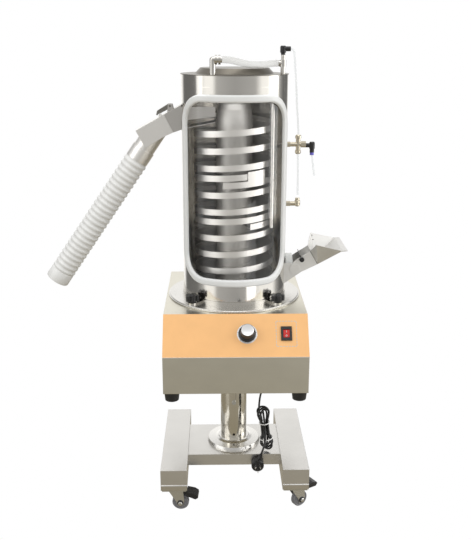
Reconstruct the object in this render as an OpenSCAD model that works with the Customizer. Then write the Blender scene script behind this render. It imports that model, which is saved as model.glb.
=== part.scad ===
// Tablet screening machine: a spiral vibrating tower in a round housing, on a cabinet with a lifting column.
// Millimetres, Z up, the front faces -Y.
// The origin lies on the floor, on the axis of the column and the tower.

/* [Base frame] */
// Height of the beams' undersides above the floor
leg_bottom_z = 80; // [74:1:95]
// Height of each leg beam
leg_h = 66; // [50:1:80]
// Width of each leg beam
leg_w = 78; // [76:1:100]
// Length of each leg beam
leg_len = 400; // [350:5:500]
// Distance between the middles of the leg beams
leg_spacing = 361; // [330:1:420]
// Width of the cross beam, front to back
cross_w = 196; // [184:1:240]
// Height of the cross beam
cross_h = 36; // [30:1:46]
// Step from the leg tops down to the top of the cross beam
cross_drop = 5; // [0:1:12]
// Sheet thickness of the beams
beam_t = 3; // [2:0.5:4]

/* [Casters] */
// Radius of a caster wheel
wheel_r = 25; // [20:1:27]
// Width of a caster wheel
wheel_w = 20; // [14:1:22]
// Radius of the wheel axle
wheel_axle_r = 4; // [3:0.5:6]
// Offset of the axle behind the swivel axis
caster_trail = 18; // [12:1:24]
// Distance of the swivel axis from the end of its leg
caster_inset = 35; // [32:1:60]
// Thickness of the mounting plate
caster_plate_t = 6; // [4:1:8]
// Radius of the kingpin
kingpin_r = 5; // [4:0.5:7]
// Thickness of the fork's sheet
fork_t = 2.5; // [2:0.5:3.5]
// Length of the brake pedal beyond the swivel axis
pedal_reach = 72; // [60:1:78]

/* [Column] */
// Outside radius of the sleeve
sleeve_r = 40; // [36:1:46]
// Wall of the sleeve
sleeve_wall = 3; // [2.5:0.5:5]
// Height of the sleeve's top above the floor
sleeve_top_z = 422; // [380:1:440]
// Travel of the lifting column
lift_travel = 150; // [100:10:160]
// Wall of the inner post
post_wall = 4; // [3:0.5:6]
// Radial clearance between the post and the sleeve
post_clearance = 0.05; // [0.02:0.01:0.1]
// Length of the inner post left in the sleeve at full height
post_overlap = 90; // [70:5:95]
// Radius of the base cover
cover_r = 82; // [70:1:90]
// Height of the clamp screw above the floor
clamp_z = 287; // [250:1:320]

/* [Cabinet] */
// Width of the cabinet
cab_w = 400; // [396:2:460]
// Height of the cabinet
cab_h = 204; // [190:1:240]
// Reach of the front wall from the tower axis
cab_front = 275; // [262:1:290]
// Reach of the top's front edge from the tower axis
cab_top_front = 198; // [194:1:212]
// Reach of the rear wall from the tower axis
cab_rear = 220; // [205:1:240]
// Height of the front wall up to the sloping panel
cab_front_h = 107; // [90:1:120]
// Sheet thickness of the cabinet
cab_t = 2; // [1.5:0.5:3]
// Thickness of the sloping panel
panel_t = 2; // [1.5:0.5:3]
// Gap between the sleeve's top and the post's flange at rest
rest_gap = 0.5; // [0.3:0.1:1]
// Radius of a cabinet foot
foot_r = 22; // [14:1:23]
// Height of a cabinet foot
foot_h = 26; // [16:1:30]

/* [Controls] */
// Side position of the speed knob
knob_x = 31; // [0:1:50]
// Distance of the knob and the switch up the sloping panel
controls_up = 66; // [54:1:72]
// Radius of the speed knob's skirt
knob_r = 24; // [18:1:26]
// Height of the speed knob
knob_h = 33; // [20:1:36]
// Radius of the knob's shaft
shaft_r = 3; // [2:0.5:4]
// Side position of the power switch
switch_x = 139; // [110:1:150]
// Width of the switch bezel
bezel_w = 30; // [26:1:34]
// Length of the switch bezel
bezel_l = 40; // [36:1:44]
// Width of the rocker
rocker_w = 18; // [14:1:21]
// Length of the rocker
rocker_l = 24; // [20:1:26]
// Swing of the rocker from off to on
rocker_swing = 20; // [16:1:24]

/* [Housing] */
// Outside radius of the housing
housing_r = 150; // [146:1:158]
// Height of the housing
housing_h = 632; // [600:2:700]
// Wall of the housing
housing_t = 1.5; // [1:0.5:3]
// Radius of the flange disc
flange_r = 195; // [186:1:204]
// Thickness of the flange disc
flange_t = 6; // [4:1:10]
// Radius of the flange disc's middle hole
flange_hole_r = 66; // [60:1:80]
// Height of the housing's foot ring
foot_ring_h = 12; // [8:1:16]
// Distance of the star knobs from the tower axis
star_pitch_r = 175; // [174:1:178]
// Radius of a star knob
star_r = 20; // [16:1:21]
// Half the angle that the window spans
window_half = 64; // [55:1:68]
// Height of the window's lower edge above the flange disc
window_low = 68; // [60:1:80]
// Height of the wall above the window opening
window_top_band = 58; // [44:2:100]
// Corner radius of the window opening
window_corner = 75; // [50:1:90]
// Width of the window's rubber frame
gasket_w = 20; // [16:1:24]
// Height of the rubber frame outside the housing
gasket_proud = 9; // [6:0.5:11]
// Thickness of the window pane
pane_t = 3; // [2:0.5:4]
// Height of the lid's crown
crown_h = 19; // [12:1:26]
// Radius of the lid's crown
crown_r = 96; // [80:1:106]
// Sheet thickness of the lid
lid_t = 1.5; // [1:0.5:2.5]

/* [Spiral tower] */
// Outside radius of the drum
drum_r = 52; // [46:1:56]
// Wall of the drum
drum_t = 2; // [1.5:0.5:3]
// Outside radius of the spiral track
track_r = 115; // [105:1:118]
// Rise of the track in one turn
track_pitch = 47.5; // [44:0.5:50]
// Height of the track's outer rim
rim_h = 17; // [12:1:20]
// Sheet thickness of the track
track_t = 1.5; // [1:0.25:2]
// Drop from one track onto the next
track_step = 25; // [22:1:30]

/* [Chutes] */
// Inside width of both chutes
chute_w = 66; // [56:1:70]
// Sheet thickness of the chutes
chute_t = 2; // [1.5:0.5:2.5]
// Outside radius of the outlet spout
spout_r = 31; // [28:0.5:33]
// Width of the hopper's mouth
hopper_w = 160; // [130:2:176]
// Reach of the hopper from the tower axis
hopper_reach = 324; // [312:1:332]
// Outside radius of the dust port
port_r = 30; // [24:1:34]
// Wall of the dust port
port_wall = 2; // [1.5:0.5:3]
// Reach of the dust port from the tower axis
port_reach = 275; // [250:1:290]

/* [Drive] */
// Radius of the counterweight plate
counter_r = 125; // [115:1:135]
// Thickness of the counterweight plate
counter_t = 20; // [16:1:26]
// Height of the rubber mounts
mount_h = 24; // [20:1:30]
// Radius of the drive plate
drive_r = 112; // [108:1:120]
// Thickness of the drive plate
drive_t = 12; // [10:1:16]
// Height of the magnet
magnet_h = 56; // [46:1:60]
// Gap between the magnet and its armature
air_gap = 3; // [2:0.5:4]
// Length of the leaf springs between their clamps
leaf_len = 92; // [86:1:100]
// Width of the magnet's core
core_w = 80; // [70:2:90]
// Depth of the magnet's core
core_d = 56; // [46:2:66]

/* [Hidden] */
$fn = 64;
seat_gap = 0.3;

// Base
leg_top_z = leg_bottom_z + leg_h;
leg_x = leg_spacing / 2;
cross_top_z = leg_top_z - cross_drop;
cross_len = leg_spacing - leg_w;
caster_y = leg_len / 2 - caster_inset;
// Each caster's side, end and resting swivel angle
CASTERS = [[-1, -1, -4], [1, -1, 32], [-1, 1, 150], [1, 1, 75]];
crown_top_z = leg_bottom_z - caster_plate_t;
crown_t = 4;
fork_inner = wheel_w / 2 + 1.5;
kingpin_head_t = 4;
pedal_w = 2 * fork_inner - 1;
pedal_pivot_x = caster_trail + 2;
pedal_pivot_z = crown_top_z - crown_t - 11;
pedal_pin_r = 2;
pedal_swing = 20;

// Column
foot_disc_t = 8;
foot_disc_r = cover_r - 8;
lip_r = sleeve_r + 8;
cover_h = 20;
cover_t = 2;
clamp_screw_r = 4;
clamp_head_r = 6.5;
clamp_head_t = 4;
stop_hole_z = cross_top_z + 36;
post_r = sleeve_r - sleeve_wall - post_clearance;
post_len = lift_travel + post_overlap;
post_flange = 75;
post_flange_t = 5.5;

// Cabinet and controls
cab_bottom_z = sleeve_top_z + rest_gap + post_flange_t;
cab_top_z = cab_bottom_z + cab_h;
seam_z = cab_bottom_z + cab_front_h;
slope_rise = cab_top_z - seam_z;
slope_run = cab_front - cab_top_front;
slope_len = sqrt(slope_rise * slope_rise + slope_run * slope_run);
slope_angle = atan2(slope_rise, slope_run);
foot_inset = 23;
knob_base_out = panel_t + 1.5;
bezel_t = 4;
rocker_pivot_out = panel_t - 1;
rocker_gap = 0.5;
rocker_pin_r = 1.5;
gland_x = 95;
gland_y = -60;
gland_r = 8;

// Tower
flange_z = cab_top_z + flange_t;
rim_z = flange_z + housing_h;
window_z0 = flange_z + window_low;
window_z1 = rim_z - window_top_band;
window_h = window_z1 - window_z0;
// Where the round shells have no hole, at the rear right
blank_side = 45;
star_angle = 44;
star_h = 24;
stud_r = 4;
lug_t = 5;
port_z = flange_z + 52;
fitting_high_z = rim_z - 195;
fitting_low_z = fitting_high_z - 172;
nipple_r = 5;
// The lid's pipes: place and radius
PIPE_LEFT = [-60.5, -124, 8];
PIPE_RIGHT = [130, -50, 6];

// Spiral: angles are counted from the front towards the right side, heights are those of the rim's middle
pan_z = flange_z + 9;
pan_rim = 13;
lower_start = -581;
lower_end = 1138;
middle_start = 22;
middle_end = 1097;
upper_start = -17;
upper_end = 1340;
lower_z0 = pan_z + 85 + track_pitch * lower_start / 360;
middle_z0 = lower_z0 + track_pitch * (lower_end - lower_start) / 360 - track_step;
upper_z0 = middle_z0 + track_pitch * (middle_end - middle_start) / 360 - track_step;
track_end_z = upper_z0 + track_pitch * (upper_end - upper_start) / 360;
drum_top_z = track_end_z - 16;
rod_r = 8;
blow_r = 131;
blow_angle = 52;

// Outlet, as X and Z points: the seam between stub and chute, and the chute's box
stub_y = chute_w / 2 + chute_t;
outlet_z = track_end_z - 33;
duct_h = 68;
seam_top = [-housing_r - 46, outlet_z + 40.7];
seam_low = [-housing_r - 21, outlet_z - 8];
box_left = [-housing_r - 126.4, outlet_z - 3];
box_low = [-housing_r - 100.9, outlet_z - 51];
box_heel = [-housing_r - 44.5, outlet_z - 18];
spout_end = [-housing_r - 129, outlet_z - 88];
spout_tilt = 34.74;
latch_pin_r = 3;
hose_end = [-housing_r - 375.8, outlet_z - 444];
hose_r = 35.5;
hose_bore = 32.5;

// Inlet, as X and Z points on the inside of the floor
floor_in = [track_r - 7, pan_z + 17];
floor_wall = [housing_r - 1.5, pan_z + 26];
floor_bend = [housing_r + 47, pan_z + 60];
floor_out = [housing_r + 95, pan_z + 83.5];
mouth_z = pan_z + 133;
gate_x = housing_r + 62;
gate_tilt = atan2(floor_out[1] - floor_bend[1], floor_out[0] - floor_bend[0]);
gate_z = floor_bend[1] + (gate_x - floor_bend[0]) * tan(gate_tilt);
gate_h = 46;
gate_knob_up = 33;

// Drive
mount_top_z = cab_bottom_z + 2 + mount_h;
counter_top_z = mount_top_z + counter_t;
magnet_top_z = counter_top_z + magnet_h;
drive_z = counter_top_z + leaf_len;
hub_r = 58;
dome_h = 66;
rod_top_z = drum_top_z + dome_h + 18;

// Cord routes
JUMPER_ROUTE = [
    [-35.2, -124, rim_z + 41], [-28, -124, rim_z + 41], [-10, -121, rim_z + 39], [15, -110, rim_z + 33],
    [41, -96, rim_z + 28], [70, -78, rim_z + 27], [94, -61, rim_z + 29], [110, -50.3, rim_z + 30],
    [117.7, -50, rim_z + 30]
];
AIR_LONG_ROUTE = [
    [150.8, -50, rim_z + 68], [153.5, -50, rim_z + 68], [159, -49, rim_z + 62], [162, -47, rim_z + 48],
    [168, -38, rim_z - 12], [174, -22, rim_z - 82], [180, -6, rim_z - 137],
    [182, 0, fitting_high_z + 28.5]
];
AIR_LINK_ROUTE = [
    [182, 0, fitting_high_z - 27.5], [183, 0, fitting_high_z - 57], [184, 0, fitting_high_z - 97],
    [184, 0, fitting_low_z + 25.5]
];
AIR_STUB_ROUTE = [
    [222, 0, fitting_high_z - 23.5], [224, 0, fitting_high_z - 42], [228, 0, fitting_high_z - 69],
    [231, 0, fitting_high_z - 90.5]
];
HANK_TOP = [85, -77, 300];
HANK_LOW = [103, -77, 145];
CORD_ROUTE = [
    [gland_x, gland_y, cab_bottom_z - 17], [gland_x, gland_y - 1, 380], [gland_x - 2, gland_y - 8, 350],
    [gland_x - 6, gland_y - 16, 325], [HANK_TOP[0] + 1, HANK_TOP[1], HANK_TOP[2] + 0.5]
];
PLUG_ROUTE = [
    [96.5, -94.3, 190], [96.5, -98, 190], [93, -104, 182], [88.5, -108.5, 170], [84.5, -110, 157],
    [81.6, -110, 146.6]
];

// Shapes that several pieces share

// A point at an angle from the front, counted towards the right side
function around(r, a, z) = [r * sin(a), -r * cos(a), z];

function unit(v) = v / norm(v);

// Faces of a strip of rings with m points each, closed at both ends
function strip_faces(m, n) = concat(
    [[for (k = [m - 1:-1:0]) k]],
    [for (i = [0:n - 2], k = [0:m - 1]) each [
        [i * m + k, i * m + (k + 1) % m, (i + 1) * m + (k + 1) % m],
        [i * m + k, (i + 1) * m + (k + 1) % m, (i + 1) * m + k]
    ]],
    [[for (k = [0:m - 1]) (n - 1) * m + k]]
);

// A profile of radius and height points, carried up the spiral between two angles
module helix_strip(profile, a0, a1, z0, step = 15) {
    n = ceil((a1 - a0) / step) + 1;
    m = len(profile);
    points = [
        for (i = [0:n - 1], p = profile)
            let (a = a0 + (a1 - a0) * i / (n - 1))
            around(p[0], a, z0 + track_pitch * (a - a0) / 360 + p[1])
    ];
    polyhedron(points, strip_faces(m, n), convexity = 20);
}

// A round tube along a list of points; reference is a direction that the route never takes
module cord_tube(route, r, sides, reference = [0, 1, 0]) {
    n = len(route);
    points = [
        for (i = [0:n - 1])
            let (
                t = unit(route[min(i + 1, n - 1)] - route[max(i - 1, 0)]),
                side = unit(cross(reference, t)),
                up = cross(t, side)
            )
            for (k = [0:sides - 1])
                route[i] + r * (side * cos(-360 * k / sides) + up * sin(-360 * k / sides))
    ];
    polyhedron(points, strip_faces(sides, n), convexity = 10);
}

// A block between two radii that has the window's outline, made smaller by inset
module window_block(r_in, r_out, inset) {
    degrees = 180 / (PI * housing_r);
    half = window_half - inset * degrees;
    corner = window_corner - inset;
    z0 = window_z0 + inset;
    z1 = window_z1 - inset;
    turns = 6;
    across = 10;
    corner_columns = [
        for (i = [0:turns])
            let (phi = 90 * i / turns)
            [half - corner * degrees * (1 - cos(phi)), corner * (1 - sin(phi))]
    ];
    flat_half = half - corner * degrees;
    left = [for (c = corner_columns) [-c[0], c[1]]];
    middle = [for (i = [1:across - 1]) [-flat_half + 2 * flat_half * i / across, 0]];
    right = [for (i = [turns:-1:0]) corner_columns[i]];
    outline = concat(left, middle, right);
    points = [
        for (c = outline) each [
            around(r_in, c[0], z0 + c[1]),
            around(r_out, c[0], z0 + c[1]),
            around(r_out, c[0], z1 - c[1]),
            around(r_in, c[0], z1 - c[1])
        ]
    ];
    polyhedron(points, strip_faces(4, len(outline)), convexity = 4);
}

module tube(r_out, r_in, h) {
    difference() {
        cylinder(r = r_out, h = h);
        translate([0, 0, -1]) cylinder(r = r_in, h = h + 2);
    }
}

// Puts children in the frame of the sloping panel: X across, Y up the slope, Z out of it
module on_panel(x, up, out = 0) {
    translate([0, -cab_front, seam_z])
        rotate([slope_angle, 0, 0])
            translate([x, up, out])
                children();
}

// Base frame

module leg(side) {
    color("#D8D8D6")
        difference() {
            translate([side * leg_x - leg_w / 2, -leg_len / 2, leg_bottom_z])
                cube([leg_w, leg_len, leg_h]);
            translate([side * leg_x - leg_w / 2 + beam_t, -leg_len / 2 + beam_t, leg_bottom_z - 1])
                cube([leg_w - 2 * beam_t, leg_len - 2 * beam_t, leg_h - beam_t + 1]);
        }
}
module leg_left() leg(-1);
module leg_right() leg(1);

// An inverted channel between the legs
module cross_beam() {
    color("#B9B4AB")
        difference() {
            translate([-cross_len / 2, -cross_w / 2, cross_top_z - cross_h])
                cube([cross_len, cross_w, cross_h]);
            translate([-cross_len / 2 - 1, -cross_w / 2 + beam_t, cross_top_z - cross_h - 1])
                cube([cross_len + 2, cross_w - 2 * beam_t, cross_h - beam_t + 1]);
        }
}

// The sleeve stands on a welded foot disc. Its top is slit above the clamp screw; below is a stop's hole
module column_sleeve() {
    color("#C9C9C7")
        difference() {
            union() {
                translate([0, 0, cross_top_z])
                    cylinder(r = sleeve_r, h = sleeve_top_z - cross_top_z);
                translate([0, 0, cross_top_z])
                    cylinder(r = foot_disc_r, h = foot_disc_t);
            }
            translate([0, 0, cross_top_z - 1])
                cylinder(r = sleeve_r - sleeve_wall, h = sleeve_top_z - cross_top_z + 2);
            for (z = [clamp_z, stop_hole_z])
                translate([0, 0, z])
                    rotate([90, 0, 0])
                        cylinder(r = clamp_screw_r + 0.05, h = sleeve_r + 10);
            translate([4, -sleeve_r - 1, clamp_z + 9])
                cube([2.5, sleeve_wall + 6, sleeve_top_z - clamp_z]);
        }
}

// A spun cover over the foot disc: a flat rim, a low cone and a lip round the sleeve
module base_cover() {
    bore = sleeve_r + seat_gap;
    color("#E2E2E0")
        translate([0, 0, cross_top_z])
            rotate_extrude()
                polygon([
                    [cover_r, 0], [cover_r, 3], [cover_r - 3, foot_disc_t + cover_t + 1],
                    [lip_r + 9, cover_h - 6], [lip_r + 1.5, cover_h - 3], [lip_r, cover_h - 2.5],
                    [lip_r, cover_h - 1], [lip_r - 1, cover_h], [bore, cover_h], [bore, foot_disc_t + 1],
                    [cover_r - 6, foot_disc_t + 1], [cover_r - cover_t, 0]
                ]);
}

// The clamp screw in the sleeve, with a slotted round head
module clamp_screw() {
    seat_r = sleeve_r + seat_gap;
    tip_r = sleeve_r - sleeve_wall + 0.1;
    color("#8C8A86")
        translate([0, 0, clamp_z])
            rotate([90, 0, 0])
                difference() {
                    union() {
                        translate([0, 0, tip_r])
                            cylinder(r = clamp_screw_r, h = seat_r - tip_r + 1);
                        translate([0, 0, seat_r])
                            cylinder(r = clamp_head_r, h = clamp_head_t);
                    }
                    translate([-clamp_head_r, -0.6, seat_r + clamp_head_t - 1.5])
                        cube([2 * clamp_head_r, 1.2, 3]);
                }
}

// Casters

module at_caster(i) {
    c = CASTERS[i];
    translate([c[0] * leg_x, c[1] * caster_y, 0])
        rotate([0, 0, c[2]])
            children();
}

// A plate inside each leg's open underside, with the kingpin that the fork turns on
module caster_plates() {
    color("#B5B4B0")
        for (c = CASTERS)
            translate([c[0] * leg_x, c[1] * caster_y, 0]) {
                translate([0, 0, crown_top_z + seat_gap])
                    linear_extrude(height = caster_plate_t - seat_gap + beam_t)
                        square([leg_w - 2 * beam_t - 0.6, 2 * caster_inset - 2 * beam_t - 1], center = true);
                translate([0, 0, crown_top_z - crown_t - kingpin_head_t])
                    cylinder(r = kingpin_r, h = kingpin_head_t + crown_t + 1);
                translate([0, 0, crown_top_z - crown_t - kingpin_head_t - seat_gap])
                    cylinder(r = kingpin_r + 3, h = kingpin_head_t);
            }
}

// The fork: a round crown, two cheeks and the wheel's axle
module caster_fork(i) {
    fork_crown_r = 24;
    cheek_low = wheel_r - 9;
    color("#C4C3BF")
        at_caster(i) {
            difference() {
                union() {
                    translate([0, 0, crown_top_z - crown_t])
                        cylinder(r = fork_crown_r, h = crown_t);
                    for (side = [-1, 1])
                        translate([0, side * (fork_inner + fork_t / 2), 0])
                            rotate([90, 0, 0])
                                linear_extrude(height = fork_t, center = true)
                                    polygon([
                                        [-15, crown_top_z - 1], [caster_trail + 8, crown_top_z - 1],
                                        [caster_trail + 12, wheel_r + 6], [caster_trail + 8, cheek_low],
                                        [caster_trail - 8, cheek_low], [caster_trail - 12, wheel_r + 4],
                                        [-15, crown_top_z - 12]
                                    ]);
                }
                translate([0, 0, crown_top_z - crown_t - 1])
                    cylinder(r = kingpin_r + 0.05, h = crown_t + 2);
            }
            translate([caster_trail, 0, wheel_r])
                rotate([90, 0, 0])
                    cylinder(r = wheel_axle_r, h = 2 * (fork_inner + fork_t) + 4, center = true);
        }
}
module caster_fork_fl() caster_fork(0);
module caster_fork_fr() caster_fork(1);
module caster_fork_rl() caster_fork(2);
module caster_fork_rr() caster_fork(3);

module caster_wheel(i) {
    color("#4B4B4B")
        at_caster(i)
            translate([caster_trail, 0, wheel_r])
                rotate([90, 0, 0])
                    rotate_extrude()
                        polygon([
                            [wheel_axle_r + 0.05, -wheel_w / 2], [wheel_r - 9, -wheel_w / 2],
                            [wheel_r - 7, -wheel_w / 2 + 2], [wheel_r - 3, -wheel_w / 2 + 1],
                            [wheel_r, -wheel_w / 2 + 4], [wheel_r, wheel_w / 2 - 4],
                            [wheel_r - 3, wheel_w / 2 - 1], [wheel_r - 7, wheel_w / 2 - 2],
                            [wheel_r - 9, wheel_w / 2], [wheel_axle_r + 0.05, wheel_w / 2]
                        ]);
}
module caster_wheel_fl() caster_wheel(0);
module caster_wheel_fr() caster_wheel(1);
module caster_wheel_rl() caster_wheel(2);
module caster_wheel_rr() caster_wheel(3);

// The brake pedal: a lever above the wheel with a broad toe, raised by an angle from its braking place
module brake_pedal(i, raised) {
    neck = caster_trail + 20 - pedal_pivot_x;
    toe = pedal_reach - pedal_pivot_x;
    color("#242424")
        at_caster(i)
            translate([pedal_pivot_x, 0, pedal_pivot_z])
                rotate([0, -raised, 0])
                    rotate([90, 0, 0]) {
                        linear_extrude(height = pedal_w, center = true)
                            polygon([[-10, 4], [-6, -3], [12, -4], [neck + 4, -8], [neck + 4, 3], [10, 7]]);
                        linear_extrude(height = pedal_w + 16, center = true)
                            polygon([
                                [neck, -7], [toe - 8, -17], [toe, -12],
                                [toe - 1, -6], [toe - 12, 1], [neck, 5]
                            ]);
                        cylinder(r = pedal_pin_r, h = pedal_w + 1, center = true);
                    }
}
module brake_pedal_left() brake_pedal(0, 0);
module brake_pedal_right() brake_pedal(1, pedal_swing);

// Column and cabinet

// The sliding post hangs from a square flange under the cabinet
module inner_post() {
    color("#D5D5D3")
        difference() {
            union() {
                translate([0, 0, cab_bottom_z - post_flange_t - post_len])
                    cylinder(r = post_r, h = post_len + 1);
                translate([-post_flange, -post_flange, cab_bottom_z - post_flange_t])
                    cube([2 * post_flange, 2 * post_flange, post_flange_t]);
            }
            translate([0, 0, cab_bottom_z - post_flange_t - post_len - 1])
                cylinder(r = post_r - post_wall, h = post_len + post_flange_t + 2);
        }
}

// A folded shell, open at the sloping front and below
module cabinet() {
    color("#A7A39B")
        difference() {
            rotate([90, 0, 90])
                linear_extrude(height = cab_w, center = true)
                    polygon([
                        [-cab_front, cab_bottom_z], [cab_rear, cab_bottom_z], [cab_rear, cab_top_z],
                        [-cab_top_front, cab_top_z], [-cab_front, seam_z]
                    ]);
            rotate([90, 0, 90])
                linear_extrude(height = cab_w - 2 * cab_t, center = true)
                    polygon([
                        [-cab_front + cab_t, cab_bottom_z - 1], [cab_rear - cab_t, cab_bottom_z - 1],
                        [cab_rear - cab_t, cab_top_z - cab_t], [-cab_front - 1, cab_top_z - cab_t],
                        [-cab_front - 1, seam_z], [-cab_front + cab_t, seam_z]
                    ]);
            translate([0, 0, cab_top_z - cab_t - 1])
                cylinder(r = flange_hole_r, h = cab_t + 2);
        }
}

// The sloping panel, with holes for the knob's shaft and the switch
module control_panel() {
    color("#F0B878")
        on_panel(0, 0)
            difference() {
                translate([-cab_w / 2, 0, 0])
                    cube([cab_w, slope_len, panel_t]);
                translate([knob_x, controls_up, -1])
                    cylinder(r = shaft_r + 0.05, h = panel_t + 2);
                translate([switch_x - rocker_w / 2 - 2, controls_up - rocker_l / 2 - 2, -1])
                    cube([rocker_w + 4, rocker_l + 4, panel_t + 2]);
            }
}

module bottom_plate() {
    edge = cab_t + seat_gap;
    color("#8F8B84")
        difference() {
            translate([-cab_w / 2 + edge, -cab_front + edge, cab_bottom_z])
                cube([cab_w - 2 * edge, cab_front + cab_rear - 2 * edge, cab_t]);
            translate([gland_x, gland_y, cab_bottom_z - 1])
                cylinder(r = gland_r, h = cab_t + 2);
        }
}

module cabinet_feet() {
    color("#1E1E1E")
        for (x = [-cab_w / 2 + foot_inset, cab_w / 2 - foot_inset],
             y = [-cab_front + foot_inset, cab_rear - foot_inset])
            translate([x, y, cab_bottom_z - foot_h])
                rotate_extrude()
                    polygon([[0, 0], [foot_r - 3, 0], [foot_r, foot_h], [0, foot_h]]);
}

// Controls

// A skirted knob with a narrower grip and a pointer groove, on its shaft
module speed_knob() {
    color("#2A2A2A")
        on_panel(knob_x, controls_up)
            difference() {
                union() {
                    translate([0, 0, knob_base_out])
                        rotate_extrude()
                            polygon([
                                [0, 0], [knob_r, 0], [knob_r, 3], [knob_r - 5, 6],
                                [knob_r - 6, knob_h - 1], [knob_r - 7, knob_h], [0, knob_h]
                            ]);
                    translate([0, 0, -18])
                        cylinder(r = shaft_r, h = 18 + knob_base_out + 1);
                }
                translate([-1, 4, knob_base_out + knob_h - 1])
                    cube([2, knob_r, 3]);
            }
}

module switch_bezel() {
    color("#202020")
        on_panel(switch_x, controls_up)
            difference() {
                union() {
                    translate([-bezel_w / 2, -bezel_l / 2, panel_t])
                        cube([bezel_w, bezel_l, bezel_t]);
                    translate([-rocker_w / 2 - 1.5, -rocker_l / 2 - 1.5, -14])
                        cube([rocker_w + 3, rocker_l + 3, 14 + panel_t + 1]);
                }
                translate([-rocker_w / 2, -rocker_l / 2, -12])
                    cube([rocker_w, rocker_l, 12 + panel_t + bezel_t + 1]);
                translate([0, 0, rocker_pivot_out])
                    rotate([0, 90, 0])
                        cylinder(r = rocker_pin_r + 0.05, h = rocker_w + 10, center = true);
            }
}

// The rocker on its cross pin, at rest with its lower half pressed in; its faces meet at the middle
module power_rocker() {
    half = rocker_l / 2 - rocker_gap - 1;
    ends = 3 + half * sin(rocker_swing / 2);
    color("#C8281E")
        on_panel(switch_x, controls_up, rocker_pivot_out)
            rotate([rocker_swing / 2, 0, 0]) {
                rotate([90, 0, 90])
                    linear_extrude(height = rocker_w - 2 * rocker_gap, center = true)
                        polygon([
                            [-half * 0.8, -2.5], [half * 0.8, -2.5], [half, ends], [0, 5], [-half, ends]
                        ]);
                rotate([0, 90, 0])
                    cylinder(r = rocker_pin_r, h = rocker_w + 2.4, center = true);
            }
}

// Flange disc, star knobs and housing

module flange_disc() {
    color("#C6C5C2")
        translate([0, 0, cab_top_z])
            difference() {
                rotate_extrude()
                    polygon([
                        [flange_hole_r, 0], [flange_r - 1, 0], [flange_r, 1], [flange_r, 3],
                        [flange_r - 3, 3.5], [flange_r - 3, flange_t - 1], [flange_r - 4, flange_t],
                        [flange_hole_r, flange_t]
                    ]);
                for (side = [-1, 1])
                    translate(around(star_pitch_r, side * star_angle, -1))
                        cylinder(r = stud_r, h = flange_t + 2);
            }
}

// A five-lobed clamping knob on a stud that turns in the flange disc
module star_knob(side) {
    lobe_r = star_r * 0.34;
    base_z = flange_z + lug_t + seat_gap;
    color("#1C1C1C")
        translate(around(star_pitch_r, side * star_angle, 0)) {
            translate([0, 0, base_z + 5])
                linear_extrude(height = star_h - 8)
                    union() {
                        circle(r = star_r * 0.62);
                        for (k = [0:4])
                            rotate([0, 0, 72 * k])
                                translate([star_r - lobe_r, 0])
                                    circle(r = lobe_r);
                    }
            translate([0, 0, base_z])
                cylinder(r = star_r * 0.5, h = 6);
            translate([0, 0, base_z + star_h - 4])
                cylinder(r1 = star_r * 0.5, r2 = star_r * 0.3, h = 4);
            translate([0, 0, cab_top_z + 1])
                cylinder(r = stud_r - 0.05, h = base_z - cab_top_z);
        }
}
module star_knob_left() star_knob(-1);
module star_knob_right() star_knob(1);

// The wall with its foot ring and lugs, and openings for window, inlet, outlet, dust port and pipes
module housing() {
    color("#A8A8A6")
        difference() {
            union() {
                translate([0, 0, flange_z])
                    rotate([0, 0, blank_side])
                        cylinder(r = housing_r, h = housing_h);
                translate([0, 0, flange_z])
                    rotate([0, 0, blank_side])
                        cylinder(r = housing_r + 3, h = foot_ring_h);
                for (side = [-1, 1])
                    rotate([0, 0, side * star_angle])
                        translate([0, -star_pitch_r, flange_z]) {
                            cylinder(r = 13, h = lug_t);
                            translate([-13, 0, 0])
                                cube([26, star_pitch_r - housing_r, lug_t]);
                        }
            }
            translate([0, 0, flange_z - 1])
                rotate([0, 0, blank_side])
                    cylinder(r = housing_r - housing_t, h = housing_h + 2);
            for (side = [-1, 1])
                translate(around(star_pitch_r, side * star_angle, flange_z - 1))
                    cylinder(r = stud_r, h = lug_t + 2);
            window_block(housing_r - 15, housing_r + 15, 0);
            inlet_opening();
            outlet_opening();
            translate([0, 0, port_z])
                rotate([-90, 0, 0])
                    cylinder(r = port_r + 0.2, h = housing_r + 10);
            for (z = [fitting_high_z, fitting_low_z])
                translate([0, 0, z])
                    rotate([0, 90, 0])
                        cylinder(r = nipple_r, h = housing_r + 10);
        }
}

module inlet_opening() {
    translate([housing_r - 30, -stub_y - seat_gap, floor_wall[1] - 4])
        cube([50, 2 * stub_y + 2 * seat_gap, 63]);
}

module outlet_opening() {
    translate([-housing_r - 20, -stub_y - seat_gap, outlet_z - 3])
        cube([50, 2 * stub_y + 2 * seat_gap, duct_h + 4]);
}

module window_pane() {
    color([0.85, 0.9, 0.92, 0.35])
        intersection() {
            translate([0, 0, window_z0])
                tube(housing_r, housing_r - pane_t, window_h);
            window_block(housing_r - 15, housing_r + 15, 4);
        }
}

// The rubber frame: a bead outside the housing and a web between its edge and the pane
module window_gasket() {
    color("#D9DAD8")
        union() {
            difference() {
                intersection() {
                    translate([0, 0, window_z0 - gasket_w])
                        tube(housing_r + gasket_proud, housing_r + seat_gap, window_h + 2 * gasket_w);
                    window_block(housing_r - 15, housing_r + 25, -gasket_w / 2);
                }
                window_block(housing_r - 20, housing_r + 30, gasket_w / 2);
            }
            difference() {
                intersection() {
                    translate([0, 0, window_z0 - gasket_w])
                        tube(housing_r + 1, housing_r - pane_t, window_h + 2 * gasket_w);
                    window_block(housing_r - 15, housing_r + 25, seat_gap);
                }
                window_block(housing_r - 20, housing_r + 30, 4 - seat_gap);
            }
        }
}

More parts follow.
